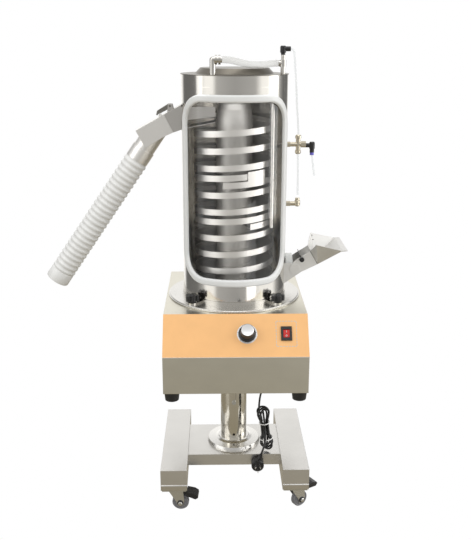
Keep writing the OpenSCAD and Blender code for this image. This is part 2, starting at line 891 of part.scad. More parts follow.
// The lid: a spun cover with a raised crown and a skirt inside the housing
module lid() {
    edge = housing_r + 1;
    skirt_r = housing_r - housing_t - 0.5;
    color("#B5AFA6")
        difference() {
            translate([0, 0, rim_z])
                rotate_extrude()
                    polygon([
                        [0, crown_h], [crown_r, crown_h - 2], [crown_r + 14, lid_t + 1],
                        [crown_r + 18, lid_t], [edge, lid_t], [edge, 0],
                        [skirt_r, 0], [skirt_r, -12], [skirt_r - lid_t, -12], [skirt_r - lid_t, 0],
                        [crown_r + 17, 0], [crown_r + 13, 0.5],
                        [crown_r - 0.8, crown_h - 2 - lid_t], [0, crown_h - lid_t]
                    ]);
            for (p = [PIPE_LEFT, PIPE_RIGHT])
                translate([p[0], p[1], rim_z - 1])
                    cylinder(r = p[2] + 0.1, h = 6);
        }
}

// Chutes

// A slab along Y from a side outline of X and Z points
module side_slab(points, y0, y1) {
    translate([0, y1, 0])
        rotate([90, 0, 0])
            linear_extrude(height = y1 - y0)
                polygon(points);
}

// The fixed duct through the wall, with a floor and a deflector that reach in to the drum
module outlet_stub() {
    inner_y = stub_y - chute_t;
    wall_x = -housing_r + 2;
    drum_x = -drum_r - 2;
    top_slope = (outlet_z + duct_h - seam_top[1]) / (wall_x - seam_top[0]);
    low_slope = (outlet_z - seam_low[1]) / (wall_x - seam_low[0]);
    color("#C9C7C3")
        difference() {
            union() {
                side_slab([[wall_x, outlet_z + duct_h], seam_top, seam_low, [wall_x, outlet_z]],
                    -stub_y, stub_y);
                side_slab([
                    [wall_x - 1, outlet_z], [drum_x, outlet_z + 19],
                    [drum_x, outlet_z + 21], [wall_x - 1, outlet_z + 2]
                ], -stub_y, stub_y);
                side_slab([
                    [wall_x - 1, outlet_z + 24], [drum_x, outlet_z + 36],
                    [drum_x, outlet_z + duct_h - 6], [wall_x - 1, outlet_z + duct_h - 6]
                ], -stub_y, -inner_y);
                for (y = [-13, 10])
                    side_slab([
                        seam_top + [7, 1], seam_top + [26, 11], seam_top + [22, 27], seam_top + [10, 28]
                    ], y, y + 3);
            }
            side_slab([
                [wall_x + 8, outlet_z + duct_h - 2.3 + 8 * top_slope], seam_top + [-9, -2.3 - 9 * top_slope],
                seam_low + [-9, 2.1 - 9 * low_slope], [wall_x, outlet_z + 2.1], [wall_x + 8, outlet_z + 4]
            ], -inner_y, inner_y);
            translate([seam_top[0] + 15, 0, seam_top[1] + 22])
                rotate([90, 0, 0])
                    cylinder(r = latch_pin_r + 0.05, h = 40, center = true);
        }
}

// The removable chute: a slanted box with a round spout below
module outlet_chute() {
    inner_y = stub_y - chute_t;
    color("#C9C7C3")
        difference() {
            union() {
                side_slab([seam_top + [-0.3, -0.15], box_left, box_low, box_heel, seam_low + [-0.3, -0.15]],
                    -stub_y, stub_y);
                intersection() {
                    on_spout(-25)
                        cylinder(r = spout_r, h = 134);
                    side_slab([
                        seam_top, box_left, box_left + [-150, 20], box_left + [-150, -180],
                        seam_low + [0, -180], seam_low
                    ], -stub_y, stub_y);
                }
                on_spout(0.3)
                    cylinder(r = spout_r + 2.4, h = 37.7);
                side_slab([
                    seam_top + [-17, -12], seam_top + [-17, -3], seam_top + [-10, 0.5], seam_top + [-10, -7]
                ], -10, 10);
            }
            side_slab([
                seam_top + [6, 0.9], seam_top + [0, -2.4], box_left + [2.7, -0.8], box_low + [0.8, 2.7],
                box_heel + [-0.8, 1.8], seam_low + [-1, 1.9], seam_low + [4, 3.8]
            ], -inner_y, inner_y);
            intersection() {
                on_spout(-26)
                    cylinder(r = spout_r - chute_t, h = 136);
                side_slab([
                    seam_top + [0, -2.4], box_left + [2.7, -0.8], box_left + [-150, 20],
                    box_left + [-150, -180], seam_low + [-3, -180], seam_low + [-3, 1]
                ], -stub_y, stub_y);
            }
        }
}

// Puts children on the spout's axis, pointing up it, at a distance from the sleeve's lower end
module on_spout(t) {
    translate([spout_end[0], 0, spout_end[1]])
        rotate([0, spout_tilt, 0])
            translate([0, 0, t])
                children();
}

// A toggle on the stub that hooks over the catch of the chute
module outlet_latch() {
    color("#D2CFC8")
        union() {
            side_slab([
                seam_top + [17, 27], seam_top + [9, 27], seam_top + [-21, 8.5], seam_top + [-24, -2.5],
                seam_top + [-20.5, -4.2], seam_top + [-18.2, -1], seam_top + [-9, 3], seam_top + [9, 12.5],
                seam_top + [18, 16.5]
            ], -9.5, 9.5);
            translate([seam_top[0] + 15, 0, seam_top[1] + 22])
                rotate([90, 0, 0])
                    cylinder(r = latch_pin_r, h = 28, center = true);
        }
}

// Side wall, floor and transverse wall of the hopper's tray as a closed block with mirrored sides
module tray_block(a, b, d, e) {
    m = [1, -1, 1];
    points = [a, b, d, e, [for (k = [0:2]) a[k] * m[k]], [for (k = [0:2]) b[k] * m[k]],
        [for (k = [0:2]) d[k] * m[k]], [for (k = [0:2]) e[k] * m[k]]];
    faces = [
        [0, 4, 5, 1], [1, 5, 6, 2], [2, 6, 7, 3], [3, 7, 4, 0],
        [0, 2, 3], [0, 1, 2], [4, 7, 6], [4, 6, 5]
    ];
    polyhedron(points, faces);
}

// The open neck from the spiral's pan to the tray, and the tray that flares to the mouth
module inlet_hopper() {
    inner_y = stub_y - chute_t;
    top = floor_wall[1] + 59;
    a = [floor_out[0], stub_y, floor_out[1] - 2];
    e = a + [-23, 0, 39.5];
    d = [floor_out[0] - 11, hopper_w / 2 - 4, mouth_z + 17];
    b = [hopper_reach - 15, hopper_w / 2, mouth_z];
    ai = a + [-1.5, -3.5, 1.5];
    ei = e + [-1, -3.5, 0];
    di = d + [2.5, -2, 1];
    color("#C8C0B0")
        union() {
            difference() {
                union() {
                    side_slab([
                        floor_in - [0, 2], floor_wall - [0, 2], floor_bend - [0, 2], [a[0], a[2]],
                        [e[0], e[2]], [housing_r + 57, top + 26], [housing_r + 37, top + 14],
                        [housing_r + 25, top + 5], [housing_r + 22, top], [housing_r - 4, top],
                        [housing_r - 7, top - 24], floor_in + [10, 18], floor_in + [0, 16]
                    ], -stub_y, stub_y);
                    translate([housing_r + 28, -stub_y - 1.5, floor_wall[1] + 41])
                        rotate([-90, 0, 0])
                            cylinder(r = 15.8, h = 3);
                }
                side_slab([
                    floor_in + [-1, 0], floor_wall, floor_bend, floor_out,
                    floor_out + [10, 5], floor_out + [10, 90], floor_in + [-1, 150]
                ], -inner_y, inner_y);
                at_gate()
                    translate([-2.3, -stub_y - 1, gate_knob_up - 2.3])
                        cube([4.6, chute_t + 2, 50]);
            }
            difference() {
                tray_block(a, b, d, e);
                tray_block(ai, b + [6, 3.5, 7], ai + 1.3 * (di - ai), ai + 1.3 * (ei - ai));
            }
            side_slab([
                [b[0] - 3, b[2] - 2.4], [hopper_reach, b[2] - 0.4], [hopper_reach, b[2] + 1.6], [b[0], b[2] + 1]
            ], -hopper_w / 2, hopper_w / 2);
        }
}

module at_gate() {
    translate([gate_x, 0, gate_z])
        rotate([0, -gate_tilt, 0])
            children();
}

// The gate stands on the neck's floor; its stud rises in a notch of the front wall
module feed_gate() {
    color("#2B2B2B")
        at_gate() {
            translate([-1, -stub_y + chute_t + seat_gap, 0.4])
                cube([2, 2 * (stub_y - chute_t - seat_gap), gate_h]);
            translate([0, -stub_y + chute_t + 1, gate_knob_up])
                rotate([90, 0, 0]) {
                    cylinder(r = 2, h = 6);
                    translate([0, 0, 4])
                        cylinder(r = 7, h = 8);
                }
        }
}

// An arched clear cover over the neck beside the housing
module inlet_hood() {
    arch_r = 36.4;
    color([0.9, 0.92, 0.93, 0.6])
        translate([housing_r + 1, 0, floor_wall[1] + 43.6])
            rotate([0, 90, 0])
                difference() {
                    cylinder(r = arch_r, h = 20.5);
                    translate([0, 0, -1])
                        cylinder(r = arch_r - 2, h = 23);
                    translate([-15.7, -50, -1])
                        cube([100, 100, 30]);
                }
}

// Air line, dust port and lid pipes

// A four-way cross at the upper hole of the wall and an elbow at the lower one
module air_fittings() {
    body_x = housing_r + 32;
    color("#B8AD98") {
        difference() {
            union() {
                along_x(housing_r - 8, fitting_high_z, nipple_r - 0.05, 30);
                along_x(housing_r + 0.5, fitting_high_z, 7.5, 9, 6);
                along_x(housing_r + 8, fitting_high_z, 6.5, 32);
                along_x(body_x + 8, fitting_high_z, 9, 14, 6);
                translate([body_x, 0, fitting_high_z - 27])
                    rotate_extrude()
                        polygon([
                            [0, 0], [6, 0], [8.5, 3], [8.5, 10], [6.5, 11], [6.5, 43],
                            [8.5, 44], [8.5, 51], [6, 54], [0, 54]
                        ]);
            }
            along_x(housing_r - 9, fitting_high_z, 3, 20);
        }
        difference() {
            union() {
                along_x(housing_r - 8, fitting_low_z, nipple_r - 0.05, 20);
                along_x(housing_r + 0.5, fitting_low_z, 7.5, 12, 6);
                along_x(housing_r + 12, fitting_low_z, 6.5, 28);
                translate([body_x + 2, 0, fitting_low_z - 8])
                    rotate_extrude()
                        polygon([[0, 0], [5, 0], [8, 3], [8, 17], [6.5, 19], [6.5, 25], [0, 25]]);
            }
            along_x(housing_r - 9, fitting_low_z, 3, 20);
        }
    }
}

module along_x(x, z, r, h, sides = 64) {
    translate([x, 0, z])
        rotate([0, 90, 0])
            cylinder(r = r, h = h, $fn = sides);
}

// Push-in elbows for the thin clear tube, at the cross and above the lid
module push_elbows() {
    side_x = housing_r + 72;
    color("#2C2C2C") {
        along_x(housing_r + 54.3, fitting_high_z - 3, 6, 18);
        translate([side_x, 0, fitting_high_z - 23])
            rotate_extrude()
                polygon([[0, 0], [6.5, 0], [6.5, 10], [8, 11], [8, 27], [6, 30], [0, 30]]);
        translate([PIPE_RIGHT[0], PIPE_RIGHT[1], rim_z + 52.3]) {
            rotate_extrude()
                polygon([[0, 0], [6, 0], [6, 5], [8, 6], [8, 21], [6, 24], [0, 24]]);
            translate([0, 0, 15.7])
                rotate([0, 90, 0])
                    cylinder(r = 6.5, h = 20.5);
        }
    }
}

// The left pipe turns to a hose barb with two clamps; the right one carries a tee with a riser
module top_pipes() {
    left_top = rim_z + 41;
    right_top = rim_z + 30;
    color("#B9B2A6") {
        translate([PIPE_LEFT[0], PIPE_LEFT[1], 0]) {
            translate([0, 0, rim_z - 6])
                cylinder(r = PIPE_LEFT[2], h = left_top - rim_z + 6);
            translate([0, 0, left_top])
                sphere(r = PIPE_LEFT[2]);
            translate([0, 0, left_top])
                rotate([0, 90, 0])
                    cylinder(r = PIPE_LEFT[2], h = 25);
            for (x = [6, 15])
                translate([x, 0, left_top])
                    rotate([0, 90, 0])
                        cylinder(r = 12.5, h = 6);
        }
        translate([PIPE_RIGHT[0], PIPE_RIGHT[1], 0]) {
            translate([0, 0, rim_z - 6])
                cylinder(r = PIPE_RIGHT[2], h = right_top - rim_z + 6);
            translate([0, 0, right_top - 9])
                cylinder(r = 9, h = 18);
            translate([-12, 0, right_top])
                rotate([0, 90, 0])
                    cylinder(r = 8, h = 12);
            translate([0, 0, right_top + 8])
                cylinder(r = 5, h = 14);
        }
    }
}

// The upright blow pipe inside the wall, with an arc to the upper nipple
module blow_pipe() {
    color("#C4C2BC")
        union() {
            translate(around(blow_r, blow_angle, fitting_high_z - 225))
                cylinder(r = 5, h = 345);
            translate([0, 0, fitting_high_z])
                rotate([0, 0, blow_angle - 90])
                    rotate_extrude(angle = 90 - blow_angle)
                        translate([blow_r, 0])
                            circle(r = 4);
            along_x(blow_r - 4, fitting_high_z, 6, housing_r - blow_r - 4.3);
        }
}

// A port at the back for a vacuum cleaner hose
module dust_port() {
    color("#B6B3AC")
        translate([0, housing_r - 6, port_z])
            rotate([-90, 0, 0])
                difference() {
                    union() {
                        cylinder(r = port_r, h = port_reach - housing_r + 6);
                        translate([0, 0, 10])
                            cylinder(r = port_r + 8, h = 3);
                    }
                    translate([0, 0, -1])
                        cylinder(r = port_r - port_wall, h = port_reach - housing_r + 8);
                }
}

// Spiral

// Floor and outer rim of a track, as radius and height points about the rim's middle
function track_profile() =
    let (
        inner = (drum_r + seat_gap) / cos(7.5),
        wall = track_r - track_t,
        low = 3 - rim_h / 2
    )
    [
        [inner, low], [wall, low], [wall, -rim_h / 2], [track_r, -rim_h / 2],
        [track_r, rim_h / 2], [wall, rim_h / 2], [wall, low + track_t], [inner, low + track_t]
    ];

// A guard above the rim where the tablets drop from the track before
function guard_profile(h) =
    [[track_r - track_t, rim_h / 2 - 1], [track_r, rim_h / 2 - 1], [track_r, h], [track_r - track_t, h]];

module track_lower() {
    color("#B9B7B2")
        helix_strip(track_profile(), lower_start, lower_end, lower_z0);
}

module track_middle() {
    color("#B9B7B2")
        union() {
            helix_strip(track_profile(), middle_start, middle_end, middle_z0);
            helix_strip(guard_profile(38), lower_end - 1078, lower_end - 1063,
                middle_z0 + track_pitch * (lower_end - 1078 - middle_start) / 360);
        }
}

module track_upper() {
    color("#B9B7B2")
        union() {
            helix_strip(track_profile(), upper_start, upper_end, upper_z0);
            helix_strip(guard_profile(34), middle_end - 1079, middle_end - 1050,
                upper_z0 + track_pitch * (middle_end - 1079 - upper_start) / 360);
        }
}

// The drum with its pan below and a spun dome above; the tie rod passes through both
module drum() {
    hole = rod_r + 0.3;
    color("#CFCDC9")
        rotate_extrude()
            polygon([
                [hole, pan_z - 2], [track_r, pan_z - 2], [track_r, pan_z + pan_rim],
                [track_r - track_t, pan_z + pan_rim], [track_r - track_t, pan_z], [drum_r, pan_z],
                [drum_r, drum_top_z], [drum_r - 1, drum_top_z + dome_h - 46],
                [drum_r - 4, drum_top_z + dome_h - 28], [drum_r - 9, drum_top_z + dome_h - 14],
                [drum_r - 18, drum_top_z + dome_h - 4], [drum_r - 29, drum_top_z + dome_h],
                [hole, drum_top_z + dome_h], [hole, drum_top_z + dome_h - 2],
                [drum_r - 29.5, drum_top_z + dome_h - 2], [drum_r - 19, drum_top_z + dome_h - 5.8],
                [drum_r - 10.8, drum_top_z + dome_h - 15], [drum_r - 6, drum_top_z + dome_h - 28.4],
                [drum_r - 3, drum_top_z + dome_h - 46.2], [drum_r - drum_t, drum_top_z - 1],
                [drum_r - drum_t, pan_z], [hole, pan_z]
            ]);
}

// Drive

// Disc, hub and tie rod with its nut, and the magnet's armature below the disc
module drive_plate() {
    color("#8F8D88")
        union() {
            translate([0, 0, drive_z])
                cylinder(r = drive_r, h = drive_t);
            translate([0, 0, drive_z + drive_t - 1])
                tube(hub_r, hub_r - 6, pan_z - 2 - seat_gap - drive_z - drive_t + 1);
            translate([0, 0, drive_z + drive_t - 1])
                cylinder(r = rod_r, h = rod_top_z - drive_z - drive_t + 1);
            translate([0, 0, drum_top_z + dome_h + seat_gap])
                cylinder(r = 14, h = 10, $fn = 6);
            translate([-core_w / 2 + 2, -core_d / 2, magnet_top_z + air_gap])
                cube([core_w - 4, core_d, drive_z - magnet_top_z - air_gap + 1]);
        }
}

// Laminated core with two coils
module magnet() {
    color("#6E4A2E")
        union() {
            translate([-core_w / 2, -core_d / 2, counter_top_z])
                cube([core_w, core_d, 18]);
            for (x = [-core_w / 2, -core_w / 8, core_w / 4])
                translate([x, -core_d / 2, counter_top_z])
                    cube([core_w / 4, core_d, magnet_h]);
            for (x = [-core_w / 4 - 4.5, core_w / 8 - 4.5])
                translate([x, -core_d / 2 - 6, counter_top_z + 19])
                    cube([core_w / 8 + 9, core_d + 12, magnet_h - 24]);
        }
}

module counterweight() {
    color("#7A7873")
        difference() {
            translate([0, 0, mount_top_z])
                cylinder(r = counter_r, h = counter_t);
            translate([0, 0, mount_top_z - 1])
                cylinder(r = 20, h = counter_t + 2);
        }
}

// Four slanted leaf packs with their clamps
module leaf_springs() {
    clamp = 20;
    pitch_r = 88;
    lean = 14;
    color("#9C9A95")
        for (a = [45:90:315])
            rotate([0, 0, a])
                translate([pitch_r, 0, 0]) {
                    translate([-9, lean - 10, counter_top_z + seat_gap])
                        cube([18, 24, clamp]);
                    translate([-9, -lean - 14, drive_z - clamp - seat_gap])
                        cube([18, 24, clamp]);
                    rotate([90, 0, 90])
                        linear_extrude(height = 16, center = true)
                            polygon([
                                [lean - 2, counter_top_z + clamp - 2], [lean + 3, counter_top_z + clamp - 2],
                                [-lean + 3, drive_z - clamp + 2], [-lean - 2, drive_z - clamp + 2]
                            ]);
                }
}

module rubber_mounts() {
    color("#1F1F1F")
        for (a = [0:90:270])
            rotate([0, 0, a])
                translate([105, 0, cab_bottom_z + cab_t])
                    rotate_extrude()
                        polygon([
                            [0, 0], [15, 0], [15, 2], [12, mount_h / 2],
                            [15, mount_h - 2], [15, mount_h], [0, mount_h]
                        ]);
}

// The control board on four spacers, with its transformer and capacitors
module control_board() {
    x0 = -175;
    y0 = -255;
    z0 = cab_bottom_z + cab_t;
    color("#2F6B4A")
        union() {
            for (x = [x0 + 8, x0 + 112], y = [y0 + 8, y0 + 62])
                translate([x, y, z0])
                    cylinder(r = 3, h = 9);
            translate([x0, y0, z0 + 8])
                cube([120, 70, 2]);
            translate([x0 + 12, y0 + 16, z0 + 9])
                cube([40, 36, 32]);
            for (x = [x0 + 66, x0 + 84])
                translate([x, y0 + 26, z0 + 9])
                    cylinder(r = 7, h = 26);
            translate([x0 + 60, y0 + 48, z0 + 9])
                cube([48, 12, 11]);
        }
}

// The gland: a threaded body through the bottom plate, with a hex and a dome nut below
module cord_gland() {
    color("#222222")
        translate([gland_x, gland_y, cab_bottom_z])
            union() {
                translate([0, 0, -4])
                    cylinder(r = gland_r - 0.1, h = 14);
                translate([0, 0, -5])
                    cylinder(r = 11, h = 4.7, $fn = 6);
                translate([0, 0, -16.5])
                    rotate_extrude()
                        polygon([[0, 0], [5, 0], [9, 4], [9.5, 12], [0, 12]]);
                translate([0, 0, cab_t + seat_gap])
                    cylinder(r = 11, h = 5, $fn = 6);
            }
}

// Hoses and cords

module outlet_hose() {
    route = [
        [spout_end[0], 0, spout_end[1]],
        [0.67 * spout_end[0] + 0.33 * hose_end[0], 0, 0.67 * spout_end[1] + 0.33 * hose_end[1]],
        [0.33 * spout_end[0] + 0.67 * hose_end[0], 0, 0.33 * spout_end[1] + 0.67 * hose_end[1]],
        [hose_end[0], 0, hose_end[1]]
    ];
    reach = unit(route[3] - route[0]);
    color("#E4E4E2")
        difference() {
            cord_tube(route, hose_r, 12);
            cord_tube([route[0] - reach, route[1], route[2], route[3] + reach], hose_bore, 12);
        }
}

module jumper_hose() {
    color("#DADAD8")
        cord_tube(JUMPER_ROUTE, 9, 10, [0, 0, 1]);
}

module air_tubes() {
    color([0.9, 0.93, 0.95, 0.6]) {
        cord_tube(AIR_LONG_ROUTE, 3, 8);
        cord_tube(AIR_LINK_ROUTE, 3, 8);
        cord_tube(AIR_STUB_ROUTE, 3, 8);
    }
}

// From the gland to the hank, and from the hank to the plug
module mains_cord() {
    color("#242424") {
        cord_tube(CORD_ROUTE, 3.5, 8);
        cord_tube(PLUG_ROUTE, 3.5, 8, [1, 0, 0]);
    }
}

// The tied hank as one bundle with round ends
module cord_hank() {
    half = 20;
    along = HANK_TOP - HANK_LOW;
    color("#242424")
        translate(HANK_LOW)
            rotate([0, atan2(along[0], along[2]), 0])
                rotate([90, 0, 0])
                    linear_extrude(height = 34, center = true)
                        union() {
                            translate([0, half])
                                circle(r = half);
                            translate([0, norm(along) - half])
                                circle(r = half);
                            translate([-half, half])
                                square([2 * half, norm(along) - 2 * half]);
                        }
}

// A round plug with three flat pins towards the front, hanging from the last end of the cord
module mains_plug() {
    color("#242424")
        translate([71, -100, 114])
            rotate([90, 0, 0])
                union() {
                    rotate_extrude()
                        polygon([[0, 0], [16, 0], [19, 4], [19, 22], [17, 25], [0, 25]]);
                    // Place and lean of each pin
                    for (p = [[-7, 5, 60], [7, 5, 120], [0, -8, 90]])
                        translate([p[0], p[1], 24])
                            rotate([0, 0, p[2]])
                                translate([-3.15, -0.8, 0])
                                    cube([6.3, 1.6, 20]);
                    translate([0, 0, 10])
                        rotate([-90, 0, -18])
                            cylinder(r1 = 9, r2 = 5, h = 34);
                }
}

leg_left();
leg_right();
cross_beam();
base_cover();
column_sleeve();
clamp_screw();
caster_plates();
caster_fork_fl();
caster_fork_fr();
caster_fork_rl();
caster_fork_rr();
caster_wheel_fl();
caster_wheel_fr();
caster_wheel_rl();
caster_wheel_rr();
brake_pedal_left();
brake_pedal_right();
inner_post();
cabinet();
control_panel();
bottom_plate();
cabinet_feet();
switch_bezel();
speed_knob();
power_rocker();
flange_disc();
star_knob_left();
star_knob_right();
housing();
window_pane();
window_gasket();
lid();
outlet_stub();
outlet_chute();
outlet_latch();
inlet_hopper();
inlet_hood();
feed_gate();
air_fittings();
push_elbows();
top_pipes();
blow_pipe();
dust_port();
drive_plate();
drum();
track_lower();
track_middle();
track_upper();
magnet();
counterweight();
leaf_springs();
rubber_mounts();
control_board();
cord_gland();
outlet_hose();
jumper_hose();
air_tubes();
mains_cord();
cord_hank();
mains_plug();
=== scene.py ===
"""Looks of the tablet screening machine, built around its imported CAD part."""

import math

import bmesh
import bpy
from mathutils import Matrix, Vector


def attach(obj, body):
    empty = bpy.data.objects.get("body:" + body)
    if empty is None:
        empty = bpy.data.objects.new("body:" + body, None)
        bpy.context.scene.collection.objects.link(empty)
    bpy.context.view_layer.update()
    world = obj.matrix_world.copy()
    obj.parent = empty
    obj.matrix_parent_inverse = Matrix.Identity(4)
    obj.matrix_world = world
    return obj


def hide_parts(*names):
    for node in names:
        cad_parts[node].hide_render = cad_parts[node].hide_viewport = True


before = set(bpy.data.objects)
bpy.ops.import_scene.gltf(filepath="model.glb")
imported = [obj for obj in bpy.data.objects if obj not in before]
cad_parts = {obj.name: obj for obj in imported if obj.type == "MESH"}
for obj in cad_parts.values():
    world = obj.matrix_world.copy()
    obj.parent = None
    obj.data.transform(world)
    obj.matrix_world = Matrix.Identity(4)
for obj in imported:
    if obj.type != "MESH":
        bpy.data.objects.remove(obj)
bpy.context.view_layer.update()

bl_info = {
    "name": "Tablet screening machine",
    "version": (1, 0, 0),
    "blender": (4, 5, 0),
    "location": "View3D > Sidebar > Machine",
    "description": "Builds the looks of a tablet screening machine around its CAD frame",
    "category": "Object",
}

# Lengths and places are in millimetres and angles in degrees until they reach Blender
MM = 0.001


def linear(text):
    """A hex sRGB colour as linear red, green and blue."""
    parts = [int(text[i : i + 2], 16) / 255 for i in (1, 3, 5)]
    return [c / 12.92 if c <= 0.04045 else ((c + 0.055) / 1.055) ** 2.4 for c in parts]


# Settings


def size(name, description, default, low, high):
    """A size in millimetres that a user may change."""
    return bpy.props.FloatProperty(name=name, description=description, default=default, min=low, max=high)


def colour(name, description, text):
    """A colour that a user may change."""
    return bpy.props.FloatVectorProperty(
        name=name, description=description, default=linear(text), subtype="COLOR", size=3, min=0, max=1
    )


class TSM_CameraSettings(bpy.types.PropertyGroup):
    """Where the photograph was taken from"""

    place: bpy.props.FloatVectorProperty(
        name="Place", description="Camera position in millimetres", default=(-50.65, -2251.68, 1364.76)
    )
    heading: bpy.props.FloatProperty(
        name="Heading", description="Turn from straight ahead to the right, in degrees", default=1.4
    )
    pitch: bpy.props.FloatProperty(name="Pitch", description="Downward tilt in degrees", default=16.416)
    roll: bpy.props.FloatProperty(
        name="Roll", description="Turn about the line of sight, in degrees", default=0.185
    )
    lens: size("Lens", "Focal length in millimetres on a 36 mm sensor", 52.43, 20, 200)


class TSM_HoseSettings(bpy.types.PropertyGroup):
    """Sizes of the outlet hose and the mains cord"""

    hose_d: size("Hose diameter", "Over the outlet hose's ribs, in millimetres", 71, 66, 71)
    rib_pitch: size("Rib pitch", "From rib to rib along the outlet hose, in millimetres", 15.3, 8, 30)
    rib_depth: size("Rib depth", "Height of the hose's ribs, in millimetres", 2.6, 1, 3)
    cord_d: size("Cord diameter", "Diameter of the mains cord in millimetres", 6, 5, 6.5)


class TSM_PanelSettings(bpy.types.PropertyGroup):
    """Sizes and colours of the control panel's small parts"""

    dial_r: size("Dial radius", "Radius of the dial plate behind the knob, in millimetres", 28, 24, 32)
    frame_w: size("Frame width", "Width of the printed frame round the switch, in millimetres", 56, 40, 70)
    frame_h: size("Frame height", "Height of the printed frame round the switch, in millimetres", 72, 50, 90)
    panel: colour("Panel", "Colour of the painted panel", "#EDB779")
    rocker: colour("Rocker", "Colour of the lit rocker", "#C2201A")
    collar: colour("Collar", "Colour of the push fittings' release collars", "#6E66CC")


# Nodes and materials


def add(tree, kind, inputs=(), **settings):
    """Adds a node; inputs maps a socket's name or number to a value or to another node's socket."""
    made = tree.nodes.new(kind)
    for key, value in settings.items():
        setattr(made, key, value)
    for key, value in dict(inputs).items():
        if isinstance(value, bpy.types.NodeSocket):
            tree.links.new(value, made.inputs[key])
        else:
            made.inputs[key].default_value = value
    return made


def shaded(name, rgb, metallic, roughness, ior=1.5):
    """A material with one Principled shader; gives the material, its nodes and the shader."""
    made = bpy.data.materials.new(name)
    made.use_nodes = True
    tree = made.node_tree
    tree.nodes.clear()
    shader = add(tree, "ShaderNodeBsdfPrincipled", {"Base Color": (*rgb, 1), "Roughness": roughness})
    shader.inputs["Metallic"].default_value = metallic
    shader.inputs["IOR"].default_value = ior
    add(tree, "ShaderNodeOutputMaterial", {"Surface": shader.outputs[0]})
    return made, tree, shader


def grain(tree, stretch):
    """Noise whose grain measures stretch in millimetres along X, Y and Z."""
    place = add(tree, "ShaderNodeTexCoord").outputs["Object"]
    scaled = add(tree, "ShaderNodeMapping", {"Vector": place, "Scale": [1000 / s for s in stretch]})
    return add(tree, "ShaderNodeTexNoise", {"Vector": scaled.outputs[0], "Scale": 1, "Detail": 3}).outputs[0]


def between(tree, value, low, high):
    """A value of 0 to 1 spread over low to high."""
    return add(tree, "ShaderNodeMapRange", {"Value": value, "To Min": low, "To Max": high}).outputs[0]


def brushed(name, text, roughness, stretch=(0.6, 0.6, 14), spread=0.06, relief=0.012, edge=0):
    """Metal with a brushed or ground grain in its roughness and relief; edge, in mm, rounds its folds."""
    made, tree, shader = shaded(name, linear(text), 1, roughness)
    noise = grain(tree, stretch)
    tree.links.new(between(tree, noise, roughness - spread, roughness + spread), shader.inputs["Roughness"])
    bump = add(tree, "ShaderNodeBump", {"Height": noise, "Strength": relief, "Distance": 0.0005})
    if edge:
        rounded = add(tree, "ShaderNodeBevel", {"Radius": edge * MM})
        tree.links.new(rounded.outputs[0], bump.inputs["Normal"])
    tree.links.new(bump.outputs[0], shader.inputs["Normal"])
    cloud = grain(tree, (90, 90, 60))
    tone = add(tree, "ShaderNodeMixRGB", {"Fac": cloud, "Color1": (*linear(text), 1)})
    tone.inputs["Color2"].default_value = (*[c * 0.86 for c in linear(text)], 1)
    tree.links.new(tone.outputs[0], shader.inputs["Base Color"])
    return made


def moulded(name, rgb, roughness, ior=1.5, pitch=0.8, relief=0.06):
    """Plastic, rubber or paint: a fine grain in the surface and a slight change of tone."""
    made, tree, shader = shaded(name, rgb, 0, roughness, ior)
    noise = grain(tree, (pitch, pitch, pitch))
    bump = add(tree, "ShaderNodeBump", {"Height": noise, "Strength": relief, "Distance": 0.0003})
    tree.links.new(bump.outputs[0], shader.inputs["Normal"])
    tone = add(tree, "ShaderNodeMixRGB", {"Fac": grain(tree, (40, 40, 40)), "Color1": (*rgb, 1)})
    tone.inputs["Color2"].default_value = (*[c * 0.88 for c in rgb], 1)
    tree.links.new(tone.outputs[0], shader.inputs["Base Color"])
    return made


def see_through(name, text, opacity, roughness, ior):
    """Clear or milky plastic that lets part of the light through."""
    made, tree, shader = shaded(name, linear(text), 0, roughness, ior)
    milk = between(tree, grain(tree, (12, 12, 12)), opacity * 0.85, opacity * 1.15)
    tree.links.new(milk, shader.inputs["Alpha"])
    return made


def clear_sheet(name, roughness, ior):
    """Clear sheet that is seen only by what its outer faces mirror."""
    made = bpy.data.materials.new(name)
    made.use_nodes = True
    tree = made.node_tree
    tree.nodes.clear()
    inner = add(tree, "ShaderNodeNewGeometry").outputs["Backfacing"]
    outer = add(tree, "ShaderNodeMath", {0: 1, 1: inner}, operation="SUBTRACT")
    mirrored = add(tree, "ShaderNodeFresnel", {"IOR": ior})
    share = add(tree, "ShaderNodeMath", {0: mirrored.outputs[0], 1: outer.outputs[0]}, operation="MULTIPLY")
    through = add(tree, "ShaderNodeBsdfTransparent")
    shine = add(tree, "ShaderNodeBsdfGlossy", {"Roughness": roughness})
    both = {0: share.outputs[0], 1: through.outputs[0], 2: shine.outputs[0]}
    add(tree, "ShaderNodeOutputMaterial", {"Surface": add(tree, "ShaderNodeMixShader", both).outputs[0]})
    return made


# Radii of the tracks in millimetres: where the holes' spacing is true, and the foot of the raised edge
MIDDLE_R, EDGE_R = 92, 112


